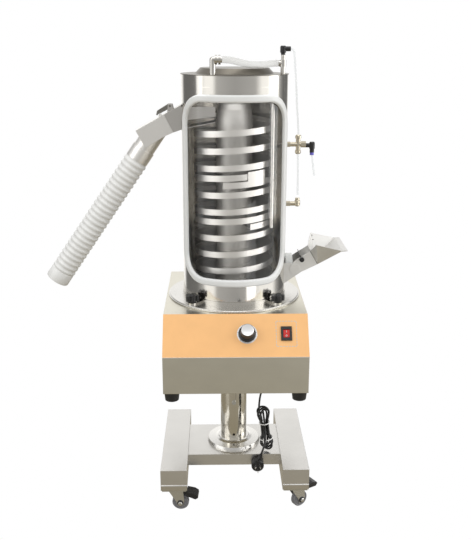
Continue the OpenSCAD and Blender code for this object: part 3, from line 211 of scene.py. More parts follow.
def perforated(name, text, roughness, pitch, hole):
    """Steel strip of the tracks with a round hole at each step along and across, drawn as dark dots."""
    made, tree, shader = shaded(name, linear(text), 1, roughness)
    place = add(tree, "ShaderNodeTexCoord").outputs["Object"]
    axes = add(tree, "ShaderNodeSeparateXYZ", {"Vector": place})
    turn = add(tree, "ShaderNodeMath", {0: axes.outputs[1], 1: axes.outputs[0]}, operation="ARCTAN2")
    flat = add(tree, "ShaderNodeVectorMath", {0: place, 1: (1, 1, 0)}, operation="MULTIPLY")
    reach = add(tree, "ShaderNodeVectorMath", {0: flat.outputs[0]}, operation="LENGTH")
    around = add(tree, "ShaderNodeMath", {0: turn.outputs[0], 1: MIDDLE_R / pitch}, operation="MULTIPLY")
    out = add(tree, "ShaderNodeMath", {0: reach.outputs["Value"], 1: 1000 / pitch}, operation="MULTIPLY")
    offsets = []
    for value in (around, out):
        part = add(tree, "ShaderNodeMath", {0: value.outputs[0]}, operation="FRACT")
        offsets.append(add(tree, "ShaderNodeMath", {0: part.outputs[0], 1: 0.5}, operation="SUBTRACT"))
    dot = add(tree, "ShaderNodeCombineXYZ", {0: offsets[0].outputs[0], 1: offsets[1].outputs[0]})
    away = add(tree, "ShaderNodeVectorMath", {0: dot.outputs[0]}, operation="LENGTH")
    inside = add(
        tree, "ShaderNodeMath", {0: away.outputs["Value"], 1: hole / pitch / 2}, operation="LESS_THAN"
    )
    # The raised edge of the strip has no holes
    inner = add(tree, "ShaderNodeMath", {0: reach.outputs["Value"], 1: EDGE_R * MM}, operation="LESS_THAN")
    both = add(tree, "ShaderNodeMath", {0: inside.outputs[0], 1: inner.outputs[0]}, operation="MULTIPLY")
    tone = add(tree, "ShaderNodeMixRGB", {"Fac": both.outputs[0], "Color1": (*linear(text), 1)})
    tone.inputs["Color2"].default_value = (0.01, 0.01, 0.01, 1)
    tree.links.new(tone.outputs[0], shader.inputs["Base Color"])
    return made


FINISH = {}


def make_finishes(panel):
    """Every finish of the machine by a short name."""
    FINISH.update(
        # Satin stainless sheet, rolled and brushed upwards: soft upright streaks, warm grey
        housing=brushed("stainless_satin_shell", "#D2CFC9", 0.15, (0.8, 0.8, 30), 0.04),
        # The same sheet with a ground finish along the beams, paler where it faces up
        beams=brushed("stainless_ground_beam", "#DCDAD6", 0.3, (20, 0.8, 0.8), edge=1.5),
        # Stainless sheet of the cabinet, brushed sideways, a dull warm grey
        cabinet=brushed("stainless_brushed_cabinet", "#DAD6C8", 0.31, (26, 0.8, 0.8), relief=0.005, edge=1.5),
        # The lid is spun, so its shine is softer; its dark brownish base colour is painted shade that makes
        # the lid darker than the other steel
        lid=brushed("stainless_spun_lid_painted_shade", "#7A756C", 0.36, (6, 6, 6)),
        # Bright sheet of the outlet's chute, folded and polished
        chute=brushed("stainless_polished_chute", "#F2F0EC", 0.42, (18, 0.8, 0.8), edge=0.8),
        # Sheet of the outlet's stub, its base colour darker than the chute beside it as painted shade
        stub=brushed("stainless_outlet_stub_painted_shade", "#D0CDC8", 0.3, (18, 0.8, 0.8), edge=0.8),
        # Ground sheet of the inlet's tray, soft and pale
        hopper=brushed("stainless_ground_tray", "#E6E5E2", 0.6, (18, 0.8, 0.8), edge=0.8),
        # Cast catch of the chute, dark and rough
        latch=brushed("cast_steel_latch", "#8B8882", 0.42, (3, 3, 3)),
        # Turned and polished tube of the column, almost a mirror
        column=brushed("stainless_polished_tube", "#DCD8CE", 0.13, (0.6, 0.6, 30), 0.03, 0.004),
        # Spun cover at the column's foot, softer than the tube
        cover=brushed("stainless_spun_cover", "#E6E4E0", 0.2, (3, 3, 3), 0.04, 0.004),
        # Turned disc under the tower, with a clear bright edge
        disc=brushed("stainless_turned_disc", "#DEDCD8", 0.28, (3, 3, 3)),
        # Drum of the spiral, rolled from sheet; its base colour is paler than the housing's sheet, painted
        # light for the dim inside of the housing
        drum=brushed("stainless_drum_painted_light", "#F0EEEA", 0.56, (0.8, 0.8, 30)),
        # Spiral tracks of punched strip; the real holes are finer, and are drawn 2 mm wide to show
        track=perforated("stainless_punched_strip", "#E8E6E2", 0.42, 5.0, 2.2),
        # Bright zinc plate of the casters, with a bluish white shine
        zinc=brushed("zinc_plated_steel", "#D6D6D3", 0.24, (3, 3, 3)),
        # Nickel-plated brass of the air fittings, a warm light metal
        nickel=brushed("nickel_plated_brass", "#CFC6B2", 0.24, (2, 2, 2)),
        # Turned iron of the drive and of the tray's rivets, dark and dull; it also colours the thin rods that
        # paint the shadow in the folds of the tray
        iron=brushed("turned_iron", "#6F6C68", 0.5, (2, 2, 2)),
        # Spun aluminium of the knob's cap and the dial; the plug's pins shine the same way
        aluminium=brushed("spun_aluminium", "#E2E2E2", 0.3, (0.5, 0.5, 0.5)),
        # Orange film on the sloping panel, even and half matt
        panel=moulded("orange_panel_film", panel.panel, 0.42, pitch=1.2, relief=0.02),
        # Black moulded nylon and phenolic: knobs, pedals, feet and elbows
        black=moulded("black_nylon", linear("#19191A"), 0.38),
        # Lit rocker of clear red polycarbonate
        red=moulded("red_polycarbonate", panel.rocker, 0.2, 1.58, relief=0.01),
        # Grey rubber tyres of the casters
        tyre=moulded("grey_rubber_tyre", linear("#737376"), 0.6, 1.52),
        # Milky silicone of the window's seal, soft and half glossy
        silicone=moulded("milky_silicone", linear("#E0E1E0"), 0.34, 1.41, pitch=2, relief=0.02),
        # Black rubber mounts of the drive
        rubber=moulded("black_rubber", linear("#1C1C1C"), 0.7, 1.52),
        # Green glass-fibre board with its film of lacquer
        board=moulded("lacquered_board", linear("#1E5A3A"), 0.35),
        # White PVC of the outlet hose
        hose=moulded("white_pvc_hose", linear("#E2E2E0"), 0.35, 1.53, pitch=3, relief=0.03),
        # Braided clear PVC, half clear, that looks pale grey over the lid
        jumper=see_through("braided_pvc_hose", "#D6D6D2", 0.38, 0.2, 1.53),
        # Black PVC sheath of the mains cord
        cord=moulded("black_pvc_sheath", linear("#151516"), 0.32, 1.53),
        # White paper and wire ties
        tie=moulded("white_twist_tie", linear("#ECECEA"), 0.5),
        # Pale blue release collars of the push fittings
        collar=moulded("blue_acetal_collar", panel.collar, 0.3, 1.48),
        # Dark ink of the dial
        ink=moulded("printed_ink", linear("#2A2A2C"), 0.5),
        # Pale grey ink of the frame round the switch and the rocker's marks
        pale_ink=moulded("pale_ink", linear("#C2C2BC"), 0.5),
        # Clear acrylic of the window, unseen but for its shine
        pane=clear_sheet("clear_acrylic_pane", 0.03, 1.49),
        # Milky polycarbonate of the inlet's hood, which lets the steel behind it show
        hood=see_through("milky_polycarbonate", "#F2F4F2", 0.5, 0.25, 1.58),
        # Clear polyurethane of the thin air tubes
        tube=see_through("clear_polyurethane", "#E2E7EA", 0.24, 0.12, 1.5),
    )


NODE_FINISHES = {
    "housing": "housing dust_port blow_pipe top_pipes inner_post",
    "beams": "leg_left leg_right cross_beam",
    "cabinet": "cabinet bottom_plate",
    "lid": "lid",
    "chute": "outlet_chute",
    "stub": "outlet_stub",
    "hopper": "inlet_hopper",
    "latch": "outlet_latch",
    "column": "column_sleeve",
    "cover": "base_cover",
    "disc": "flange_disc",
    "drum": "drum",
    "zinc": "caster_plates caster_fork_fl caster_fork_fr caster_fork_rl caster_fork_rr clamp_screw "
    "leaf_springs",
    "nickel": "air_fittings",
    "iron": "drive_plate counterweight magnet",
    "panel": "control_panel",
    "black": "brake_pedal_left brake_pedal_right cabinet_feet switch_bezel speed_knob star_knob_left "
    "star_knob_right feed_gate push_elbows cord_gland mains_plug",
    "red": "power_rocker",
    "tyre": "caster_wheel_fl caster_wheel_fr caster_wheel_rl caster_wheel_rr",
    "rubber": "rubber_mounts",
    "board": "control_board",
    "pane": "window_pane",
    "hood": "inlet_hood",
}


# Meshes


def piece(name, mesh, finish, body, smooth=None):
    """An object from a bmesh in millimetres, which rides on a body."""
    bmesh.ops.recalc_face_normals(mesh, faces=mesh.faces)
    bmesh.ops.scale(mesh, vec=(MM, MM, MM), verts=mesh.verts)
    data = bpy.data.meshes.new(name)
    mesh.to_mesh(data)
    mesh.free()
    made = bpy.data.objects.new(name, data)
    bpy.context.collection.objects.link(made)
    data.materials.append(FINISH[finish])
    if smooth:
        data.shade_smooth()
        data.set_sharp_from_angle(angle=math.radians(smooth))
    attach(made, body)
    return made


def rings_between(mesh, rings, loop=False):
    """Faces between rings of equal numbers of points; loop joins the last ring to the first."""
    rows = [[mesh.verts.new(point) for point in ring] for ring in rings]
    pairs = list(zip(rows, rows[1:])) + ([(rows[-1], rows[0])] if loop else [])
    for low, high in pairs:
        count = len(low)
        for i in range(count):
            j = (i + 1) % count
            mesh.faces.new((low[i], low[j], high[j], high[i]))
    if not loop:
        mesh.faces.new(list(reversed(rows[0])))
        mesh.faces.new(rows[-1])


def turned(mesh, profile, place, sides=48):
    """A closed turned shape from radius and height pairs; place turns a local point into its own."""
    rings = []
    for r, h in profile:
        turns = [2 * math.pi * i / sides for i in range(sides)]
        rings.append([place(Vector((r * math.cos(t), r * math.sin(t), h))) for t in turns])
    rings_between(mesh, rings, loop=True)


def block(mesh, low, high, place):
    """A box between two corners; place turns a local point into its own."""
    x0, y0, z0 = low
    x1, y1, z1 = high
    rings = [[Vector((x, y, z)) for x, y in ((x0, y0), (x1, y0), (x1, y1), (x0, y1))] for z in (z0, z1)]
    rings_between(mesh, [[place(p) for p in ring] for ring in rings])


def placed(origin, x_axis, y_axis):
    """A function that takes local points to an origin with two axes and their normal."""
    origin, x_axis, y_axis = Vector(origin), Vector(x_axis).normalized(), Vector(y_axis).normalized()
    z_axis = x_axis.cross(y_axis)
    return lambda p: origin + x_axis * p[0] + y_axis * p[1] + z_axis * p[2]


# Cords and hoses


def smooth_route(points, step):
    """Points about a step apart on a smooth line through the given ones."""
    pts = [Vector(p) for p in points]
    ends = [2 * pts[0] - pts[1]] + pts + [2 * pts[-1] - pts[-2]]
    route = [pts[0]]
    for p0, p1, p2, p3 in zip(ends, ends[1:], ends[2:], ends[3:]):
        count = max(1, round((p2 - p1).length / step))
        for i in range(1, count + 1):
            t = i / count
            bend = (2 * p0 - 5 * p1 + 4 * p2 - p3) * t * t + (3 * p1 - p0 - 3 * p2 + p3) * t**3
            route.append(0.5 * (2 * p1 + (p2 - p0) * t + bend))
    return route


def cord_curve(name, route, diameter, finish, nodes):
    """A round cord as a curve along a route in millimetres, in place of CAD nodes."""
    data = bpy.data.curves.new(name, "CURVE")
    data.dimensions = "3D"
    data.bevel_depth = diameter / 2 * MM
    data.bevel_resolution = 4
    data.use_fill_caps = True
    spline = data.splines.new("POLY")
    spline.points.add(len(route) - 1)
    for point, place in zip(spline.points, route):
        point.co = (*(place * MM), 1)
    made = bpy.data.objects.new(name, data)
    bpy.context.collection.objects.link(made)
    data.materials.append(FINISH[finish])
    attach(made, "lift")
    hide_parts(*nodes)
    return made


# Ends of the outlet hose's middle line, and the length of the smooth cuff at its lower end
SPOUT_END = Vector((-279, 0, 1032))
HOSE_END = Vector((-525.8, 0, 676))
CUFF = 36
HOSE_WALL = 3

# Routes of the hose on the lid and of the thin air tubes, between the fittings' mouths
JUMPER_ROUTE = [
    (-35.2, -124, 1311), (-28, -124, 1311), (-10, -121, 1309), (15, -110, 1303), (41, -96, 1298),
    (70, -78, 1297), (94, -61, 1299), (110, -50.3, 1300), (117.7, -50, 1300),
]
AIR_LONG_ROUTE = [
    (150.8, -50, 1338), (153.5, -50, 1338), (159, -49, 1332), (162, -47, 1318), (168, -38, 1258),
    (174, -22, 1188), (180, -6, 1133), (182, 0, 1103.5),
]
AIR_LINK_ROUTE = [(182, 0, 1047.5), (183, 0, 1018), (184, 0, 978), (184, 0, 928.5)]
AIR_STUB_ROUTE = [(222, 0, 1051.5), (224, 0, 1033), (228, 0, 1006), (231, 0, 984.5)]


class TSM_OT_outlet_hose(bpy.types.Operator):
    """The ribbed hose on the outlet spout, with a smooth cuff at its lower end"""

    bl_idname = "tsm.outlet_hose"
    bl_label = "Outlet hose"

    def execute(self, context):
        sizes = context.scene.tsm_hose
        axis = HOSE_END - SPOUT_END
        along = axis.normalized()
        length = axis.length
        outer = sizes.hose_d / 2
        valley = outer - sizes.rib_depth
        ribbed = length - CUFF
        count = int(ribbed / sizes.rib_pitch)
        rib = ((0, valley), (0.34, valley), (0.5, outer - 0.4), (0.62, outer), (0.84, outer - 0.4))
        profile = [(outer - HOSE_WALL - 1, 0)]
        for turn in range(count):
            profile += [(radius, (turn + share) * ribbed / count) for share, radius in rib]
        profile += [
            (valley, ribbed), (outer - 0.8, ribbed + 3), (outer - 0.6, length - 3), (outer - 1.4, length),
            (outer - HOSE_WALL - 0.6, length), (outer - HOSE_WALL - 1, length - 4),
        ]
        mesh = bmesh.new()
        turned(mesh, profile, placed(SPOUT_END, (0, 1, 0), along.cross(Vector((0, 1, 0)))), 72)
        hose = piece("outlet_hose_ribbed", mesh, "hose", "lift", 50)
        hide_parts("outlet_hose")
        return {"FINISHED"}


class TSM_OT_air_lines(bpy.types.Operator):
    """The jumper hose on the lid and the thin clear tubes at the side"""

    bl_idname = "tsm.air_lines"
    bl_label = "Air lines"

    def execute(self, context):
        for name, points, diameter, far_end in (
            ("jumper", JUMPER_ROUTE, 18, "object"),
            ("air_long", AIR_LONG_ROUTE, 6, "object"),
            ("air_link", AIR_LINK_ROUTE, 6, "object"),
            ("air_stub", AIR_STUB_ROUTE, 6, "bare"),
        ):
            jumper = name == "jumper"
            route = smooth_route(points, 5)
            made = cord_curve(
                name + "_tube", route, diameter, "jumper" if jumper else "tube",
                ["jumper_hose" if jumper else "air_tubes"],
            )
        return {"FINISHED"}


# Upper and lower end of the hank's middle line
HANK_TOP = Vector((85, -77, 300))
HANK_LOW = Vector((103, -77, 145))
# Radius of the hank's folds, and how far the runs stand from its middle between the ties
FOLD_R, RUN_R = 18, 10.4
LOOPS = 4
# Turn of the first run round the hank's middle, and from each loop to the next, in degrees
FIRST_TURN, LOOP_TURN = 130, 35
# The folds lie one inside the other, this far apart along the hank
NEST = 6.2
# A run swings in from its fold over this length
SWING = 30
# Steps of a whole run, of the last run that leaves early, and of a fold
RUN_STEPS, LAST_STEPS, FOLD_STEPS = 8, 5, 8
# Distance of each tie from the hank's top, and its radius
TIES = ((63, 16.2), (115, 20.4))
# From the gland to the hank, and from the hank to the plug
LEAD_IN = [(95, -60, 411), (94.5, -61, 380), (91, -63, 350), (80, -63.5, 322)]
PLUG_ROUTE = [
    (95.4, -90, 212), (95, -95.5, 201), (93.8, -101.5, 189), (91, -106.5, 176), (87, -109.8, 162),
    (81.6, -110, 146.6),
]


def in_hank(s, radius, turn):
    """A point of the hank from its distance from the top, distance from the middle and turn round it."""
    axis = (HANK_LOW - HANK_TOP).normalized()
    across = Vector((-axis.z, 0, axis.x))
    angle = math.radians(turn)
    return HANK_TOP + axis * s + across * radius * math.cos(angle) + Vector((0, radius * math.sin(angle), 0))


def run_radius(s, low, high):
    """How far a run stands from the hank's middle: wide at its folds, close between the ties."""
    share = 1 - min((s - low) / SWING, (high - s) / SWING, 1)
    return RUN_R + (FOLD_R - RUN_R) * share * share * (3 - 2 * share)


def hank_points(cord_d):
    """The cord's own line through the hank: folds one inside the other, each turned a little further."""
    length = (HANK_LOW - HANK_TOP).length
    edge = FOLD_R + cord_d / 2
    route = []
    for run in range(2 * LOOPS + 1):
        loop, up = divmod(run, 2)
        low, high = edge + NEST * (loop + up), length - edge - NEST * loop
        turn = FIRST_TURN + LOOP_TURN * run / 2 + 180 * run
        last = run == 2 * LOOPS
        start, end = (high, low) if up else (low, high)
        for i in range((LAST_STEPS if last else RUN_STEPS) + 1):
            s = start + (end - start) * i / RUN_STEPS
            skew = 0 if last else LOOP_TURN / 2 * i / RUN_STEPS
            route.append(in_hank(s, run_radius(s, low, high), turn + skew))
        if last:
            break
        for i in range(1, FOLD_STEPS):
            a = math.pi * i / FOLD_STEPS
            out = FOLD_R * math.cos(a)
            s = end + (-1 if up else 1) * FOLD_R * math.sin(a)
            route.append(in_hank(s, out, turn + LOOP_TURN / 2))
    return route


class TSM_OT_mains_cord(bpy.types.Operator):
    """The mains cord from its gland to a tied hank and on to its plug"""

    bl_idname = "tsm.mains_cord"
    bl_label = "Mains cord"

    def execute(self, context):
        cord_d = context.scene.tsm_hose.cord_d
        points = [Vector(p) for p in LEAD_IN]
        points += hank_points(cord_d)
        points += [Vector(p) for p in PLUG_ROUTE]
        route = smooth_route(points, 4)
        cord = cord_curve(
            "mains_cord_wound", route, cord_d, "cord", ["mains_cord", "cord_hank"]
        )
        return {"FINISHED"}


# Spiral and window


# Start and end angle, and the height at the start, of each track; then its guard's angles and height
TRACKS = {
    "track_lower": (-581, 1138, 655.34, None),
    "track_middle": (22, 1097, 857.153, (60, 75, 38)),
    "track_upper": (-17, 1340, 973.993, (18, 47, 34)),
}
TRACK_PITCH = 47.5
TRACK_R = 115
# Section of a track, as radius and height: its floor and its raised edge
TRACK_PROFILE = [
    (52.3, -5.5), (113.5, -5.5), (113.5, -8.5), (115, -8.5), (115, 8.5), (113.5, 8.5), (113.5, -4), (52.3, -4)
]
WALL_R = 150
# Window on the unrolled wall: heights of its edges, half its width and the radius of its corners
WINDOW_LOW, WINDOW_HIGH = 706, 1212
WINDOW_HALF = 167.55
WINDOW_CORNER = 75
# Section of the window's seal: distance outwards from the opening's edge, height over the wall
SEAL_SECTION = [
    (10, 0.3), (10.2, 4), (9.4, 6.6), (7, 8.6), (3.5, 9), (0, 8.6), (-3.5, 9), (-7, 8.6), (-9.4, 6.6),
    (-10.2, 4), (-10, 1), (-3.7, 1), (-3.7, -3), (-0.3, -3), (-0.3, 0.3),
]


def around(radius, angle, z):
    """A point at an angle in degrees from the front, counted towards the right side."""
    turn = math.radians(angle)
    return Vector((radius * math.sin(turn), -radius * math.cos(turn), z))


def helix(mesh, profile, start, end, z0, step=5):
    """A section carried up the spiral between two angles."""
    count = math.ceil((end - start) / step)
    rings = []
    for i in range(count + 1):
        angle = start + (end - start) * i / count
        rise = z0 + TRACK_PITCH * (angle - start) / 360
        rings.append([around(r, angle, rise + z) for r, z in profile])
    rings_between(mesh, rings)


def window_outline():
    """Points round the window on the unrolled wall, each with its direction outwards."""
    outline = []
    centre_u, centre_z = WINDOW_HALF - WINDOW_CORNER, (WINDOW_HIGH - WINDOW_LOW) / 2 - WINDOW_CORNER
    middle = (WINDOW_HIGH + WINDOW_LOW) / 2
    for quarter, (su, sz) in enumerate(((1, 1), (-1, 1), (-1, -1), (1, -1))):
        for i in range(13):
            a = math.radians(90 * quarter + 90 * i / 12)
            out = Vector((math.cos(a), math.sin(a)))
            outline.append((Vector((su * centre_u, middle + sz * centre_z)) + out * WINDOW_CORNER, out))
        if quarter % 2 == 0:
            last = outline[-1]
            for i in range(1, 16):
                across = last[0] + Vector((-su * 2 * centre_u * i / 16, 0))
                outline.append((across, last[1]))
    return outline


class TSM_OT_spiral(bpy.types.Operator):
    """The three spiral tracks with their guards, smoothly curved"""

    bl_idname = "tsm.spiral"
    bl_label = "Spiral tracks"

    def execute(self, context):
        for name, (start, end, z0, guard) in TRACKS.items():
            mesh = bmesh.new()
            helix(mesh, TRACK_PROFILE, start, end, z0)
            if guard:
                first, last, height = guard
                rise = z0 + TRACK_PITCH * (first - start) / 360
                wall = [(TRACK_R - 1.5, 7.5), (TRACK_R, 7.5), (TRACK_R, height), (TRACK_R - 1.5, height)]
                helix(mesh, wall, first, last, rise)
            made = piece(name + "_curved", mesh, "track", "spiral", 40)
            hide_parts(name)
        return {"FINISHED"}


class TSM_OT_window_seal(bpy.types.Operator):
    """The rounded rubber frame of the window"""

    bl_idname = "tsm.window_seal"
    bl_label = "Window seal"

    def execute(self, context):
        mesh = bmesh.new()
        rings = []
        for spot, out in window_outline():
            ring = []
            for away, height in SEAL_SECTION:
                u, z = spot + out * away
                ring.append(around(WALL_R + height, math.degrees(u / WALL_R), z))
            rings.append(ring)
        rings_between(mesh, rings, loop=True)
        made = piece("window_seal", mesh, "silicone", "lift", 60)
        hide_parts("window_gasket")
        return {"FINISHED"}


# Small parts


# Way up the sloping panel, the foot of its slope, and the places of the knob and the switch on it
SLOPE = (0, 0.6217, 0.7832)
SLOPE_FOOT = (-275, 535)
KNOB_X, SWITCH_X, CONTROLS_UP = 31, 139, 66
PANEL_T = 2
# Height of the knob's top over the cabinet's sheet
KNOB_TOP = 36.5
# Sections, as radius and height, of the knob's cap and of the ring on the rocker
CAP = [(0.05, -0.6), (16.9, -0.6), (17.1, 0.8), (16.3, 1.6), (15.1, 1.2), (0.05, 1.2)]
RING_MARK = [(1.3, 4.6), (2.6, 4.6), (2.6, 5.2), (1.3, 5.2)]
# Number of ticks on the dial, the angle of the first, and from each to the next
TICKS, FIRST_TICK, TICK_TURN = 11, 225, -27
# Length of a dash of the switch's frame with its gap, and half its line
DASH, HALF_LINE = 8, 0.9
# Lean of the rocker when it is off
ROCKER_TILT = 10


def on_panel(x, up):
    """A function that takes local points to the sloping panel: across, up the slope and out of it."""
    origin = Vector((x, *SLOPE_FOOT)) + Vector(SLOPE) * up
    return placed(origin, (1, 0, 0), SLOPE)


class TSM_OT_panel_marks(bpy.types.Operator):
    """The knob's cap, its dial, and the printed frame and marks of the switch"""

    bl_idname = "tsm.panel_marks"
    bl_label = "Panel marks"

    def execute(self, context):
        sizes = context.scene.tsm_panel
        at_knob, at_switch = on_panel(KNOB_X, CONTROLS_UP), on_panel(SWITCH_X, CONTROLS_UP)
        cap = bmesh.new()
        turned(cap, [(r, KNOB_TOP + h) for r, h in CAP], at_knob)
        piece("knob_cap", cap, "aluminium", "knob", 35)
        dial = bmesh.new()
        edge = sizes.dial_r
        plate = [(5, -0.2), (edge, -0.2), (edge, 0.5), (edge - 0.4, 0.8), (5, 0.8)]
        turned(dial, [(r, PANEL_T + h) for r, h in plate], at_knob)
        piece("dial_plate", dial, "aluminium", "lift", 35)
        ticks = bmesh.new()
        right, up = Vector((1, 0, 0)), Vector(SLOPE)
        for i in range(TICKS):
            turn = math.radians(FIRST_TICK + TICK_TURN * i)
            out = Vector((math.cos(turn), math.sin(turn)))
            origin = at_knob((out.x * (edge - 3), out.y * (edge - 3), PANEL_T))
            tick = placed(origin, right * out.x + up * out.y, right * -out.y + up * out.x)
            block(ticks, (-2, -0.35, 0.6), (2, 0.35, 1.0), tick)
        piece("dial_ticks", ticks, "ink", "lift")
        frame_marks = bmesh.new()
        wide, high = sizes.frame_w, sizes.frame_h
        for length, other, upright in ((wide, high, False), (high, wide, True)):
            count = round(length / DASH)
            for i in range(count):
                low = -length / 2 + (i + 0.15) * length / count
                for side in (-1, 1):
                    line = side * other / 2
                    corners = (low, line - HALF_LINE), (low + 0.7 * length / count, line + HALF_LINE)
                    if upright:
                        corners = [(y, x) for x, y in corners]
                    near, far = corners
                    block(frame_marks, (*near, PANEL_T - 0.2), (*far, PANEL_T + 0.25), at_switch)
        piece("switch_frame", frame_marks, "pale_ink", "lift")
        tilt = math.radians(ROCKER_TILT)
        up_rocker = at_switch((0, math.cos(tilt), math.sin(tilt))) - at_switch((0, 0, 0))
        at_rocker = placed(at_switch((0, 0, 1)), (1, 0, 0), up_rocker)
        marks = bmesh.new()
        block(marks, (-0.8, 3, 4.6), (0.8, 8.2, 5.2), at_rocker)
        turned(marks, RING_MARK, lambda p: at_rocker(p + Vector((0, -5.4, 0))), 24)
        piece("rocker_marks", marks, "pale_ink", "rocker")
        return {"FINISHED"}


LEG_X, LEG_W = 180.5, 78
# Section, as y and z, of the rounded seam along the cabinet
SEAM_ROD = [
    (-275.3 + 1.6 * math.cos(math.radians(a)), 535 + 1.6 * math.sin(math.radians(a)))
    for a in range(0, 360, 30)
]
SEAM_W = 399
# Lower and upper end, as x and z, of the fold between the inlet's neck and its tray, where a thin dark rod
# paints the shadow in the fold; then its side's place
TRAY_FOLD = ((245, 728.5), (222, 768))
TRAY_SIDE = 35
# Two rivets on the tray's rear wall, the way that wall faces, and the section of their heads
TRAY_RIVETS = ((238, 67.2, 791.3), (240.1, 54.5, 780.5))
TRAY_NORMAL = Vector((0.2126, -0.6145, 0.7597))
RIVET = [(0.05, -0.4), (1.9, -0.4), (1.8, 0.5), (1, 1.1), (0.05, 1.2)]
# Section, as y and z, of the folded lip at the front end of a leg
LEG_LIP = [(-199.5, 98.5), (-201.2, 98), (-202.4, 96.4), (-202.2, 95), (-200.3, 80), (-199.5, 80)]


class TSM_OT_trims(bpy.types.Operator):
    """The rounded seam under the panel, the folded lips of the legs, the rivets of the inlet's tray and thin
    dark rods that paint the shadow in the tray's folds
    """

    bl_idname = "tsm.trims"
    bl_label = "Trims"

    def execute(self, context):
        for name, section, middle, width, finish, body in (
            ("cabinet_seam", SEAM_ROD, 0, SEAM_W, "chute", "lift"),
            ("leg_lip_left", LEG_LIP, -LEG_X, LEG_W - 1, "beams", "base"),
            ("leg_lip_right", LEG_LIP, LEG_X, LEG_W - 1, "beams", "base"),
        ):
            mesh = bmesh.new()
            rings_between(mesh, [[(middle + side * width / 2, y, z) for y, z in section] for side in (-1, 1)])
            piece(name, mesh, finish, body, 50)
        # Painted shadow: a thin dark iron rod along each fold between the inlet's neck and its tray
        mesh = bmesh.new()
        sideways = Vector((0, 1, 0))
        for side in (-1, 1):
            low, high = (Vector((x, side * TRAY_SIDE, z)) for x, z in TRAY_FOLD)
            along = high - low
            fold_shadow_line = [(0.05, 0), (0.9, 0.6), (0.9, along.length - 0.6), (0.05, along.length)]
            turned(mesh, fold_shadow_line, placed(low, sideways, along.cross(sideways)), 12)
        piece("tray_fold_shadow", mesh, "iron", "lift", 50)
        mesh = bmesh.new()
        level = TRAY_NORMAL.cross(sideways)
        for spot in TRAY_RIVETS:
            turned(mesh, RIVET, placed(spot, level, TRAY_NORMAL.cross(level)), 16)
        piece("tray_rivets", mesh, "iron", "lift", 50)
        return {"FINISHED"}


# Place and heading of each caster; then the wheel's trail, the axle's height and the fork's half width
CASTERS = (
    ("fl", -LEG_X, -165, -4), ("fr", LEG_X, -165, 32), ("rl", -LEG_X, 165, 150), ("rr", LEG_X, 165, 75)
)
CASTER_TRAIL = 18
AXLE_Z = 25
CHEEK_OUT = 14
# Sections, as radius and height, of an axle's nut, its washer and the blue collar of the air fitting
NUT = [(0.5, 2), (7, 2), (7, 5), (5.5, 6.2), (0.5, 6.6)]
WASHER = [(4.3, -0.2), (9.5, -0.2), (9.5, 1.4), (8.6, 2.1), (4.3, 2.1)]
COLLAR = [(3.3, 1044.5), (5.4, 1044.5), (5.9, 1045.5), (5.9, 1051), (5.4, 1052.4), (3.3, 1052.4)]
COLLAR_X = 222
PLUG = (71, -100, 114)
# Place of each pin on the plug's face and its lean in degrees
PINS = ((-7, 5, 60), (7, 5, 120), (0, -8, 90))
# Section of a tie: distance over its radius, and along the hank
TIE_SECTION = ((-1.2, -1.3), (0, -1.6), (0.4, 0), (0, 1.6), (-1.2, 1.3))


def headed(degrees):
    """A level way at an angle, and the way to its left."""
    turn = math.radians(degrees)
    way = Vector((math.cos(turn), math.sin(turn), 0))
    return way, Vector((-way.y, way.x, 0))


class TSM_OT_fasteners(bpy.types.Operator):
    """Axle nuts of the casters, ties of the cord, pins of the plug and the collar of the air fitting"""

    bl_idname = "tsm.fasteners"
    bl_label = "Fasteners"

    def execute(self, context):
        for tag, x, y, turn in CASTERS:
            way, aside = headed(turn)
            nuts, rings = bmesh.new(), bmesh.new()
            for side in (-1, 1):
                origin = Vector((x, y, AXLE_Z)) + way * CASTER_TRAIL + aside * side * CHEEK_OUT
                local = placed(origin, way * side, (0, 0, -1))
                turned(nuts, NUT, local, 6)
                turned(rings, WASHER, local, 32)
            piece("axle_nuts_" + tag, nuts, "zinc", "fork_" + tag)
            piece("axle_washers_" + tag, rings, "black", "fork_" + tag, 35)
        collar = bmesh.new()
        turned(collar, COLLAR, lambda p: Vector((COLLAR_X, 0, 0)) + p, 32)
        piece("fitting_collar", collar, "collar", "lift", 35)
        pins = bmesh.new()
        at_plug = placed(PLUG, (1, 0, 0), (0, 0, 1))
        for x, y, lean in PINS:
            at_pin = placed((x, y, 0), *headed(lean))
            block(pins, (-3.3, -0.95, 25), (3.3, 0.95, 44.2), lambda p: at_plug(at_pin(p)))
        piece("plug_pins", pins, "aluminium", "lift")
        for i, (tie, radius) in enumerate(TIES):
            mesh = bmesh.new()
            turns = [360 * k / 48 for k in range(48)]
            rings = [[in_hank(tie + s, radius + over, turn) for turn in turns] for over, s in TIE_SECTION]
            rings_between(mesh, rings, loop=True)
            piece(f"cord_tie_{i + 1}", mesh, "tie", "lift", 50)
        return {"FINISHED"}


# Stage


# Brightness of the surroundings at each angle from the front, in degrees, towards the right side
WORLD_LEVELS = [
    (-180, 1.3), (-150, 1.3), (-138, 0.2), (-92, 0.24), (-76, 0.6), (-66, 1.5), (-48, 1.5), (-40, 0.62),
    (0, 0.5), (44, 0.62), (58, 1.5), (96, 1.5), (110, 0.5), (126, 0.18), (150, 0.2), (162, 1.3),
]


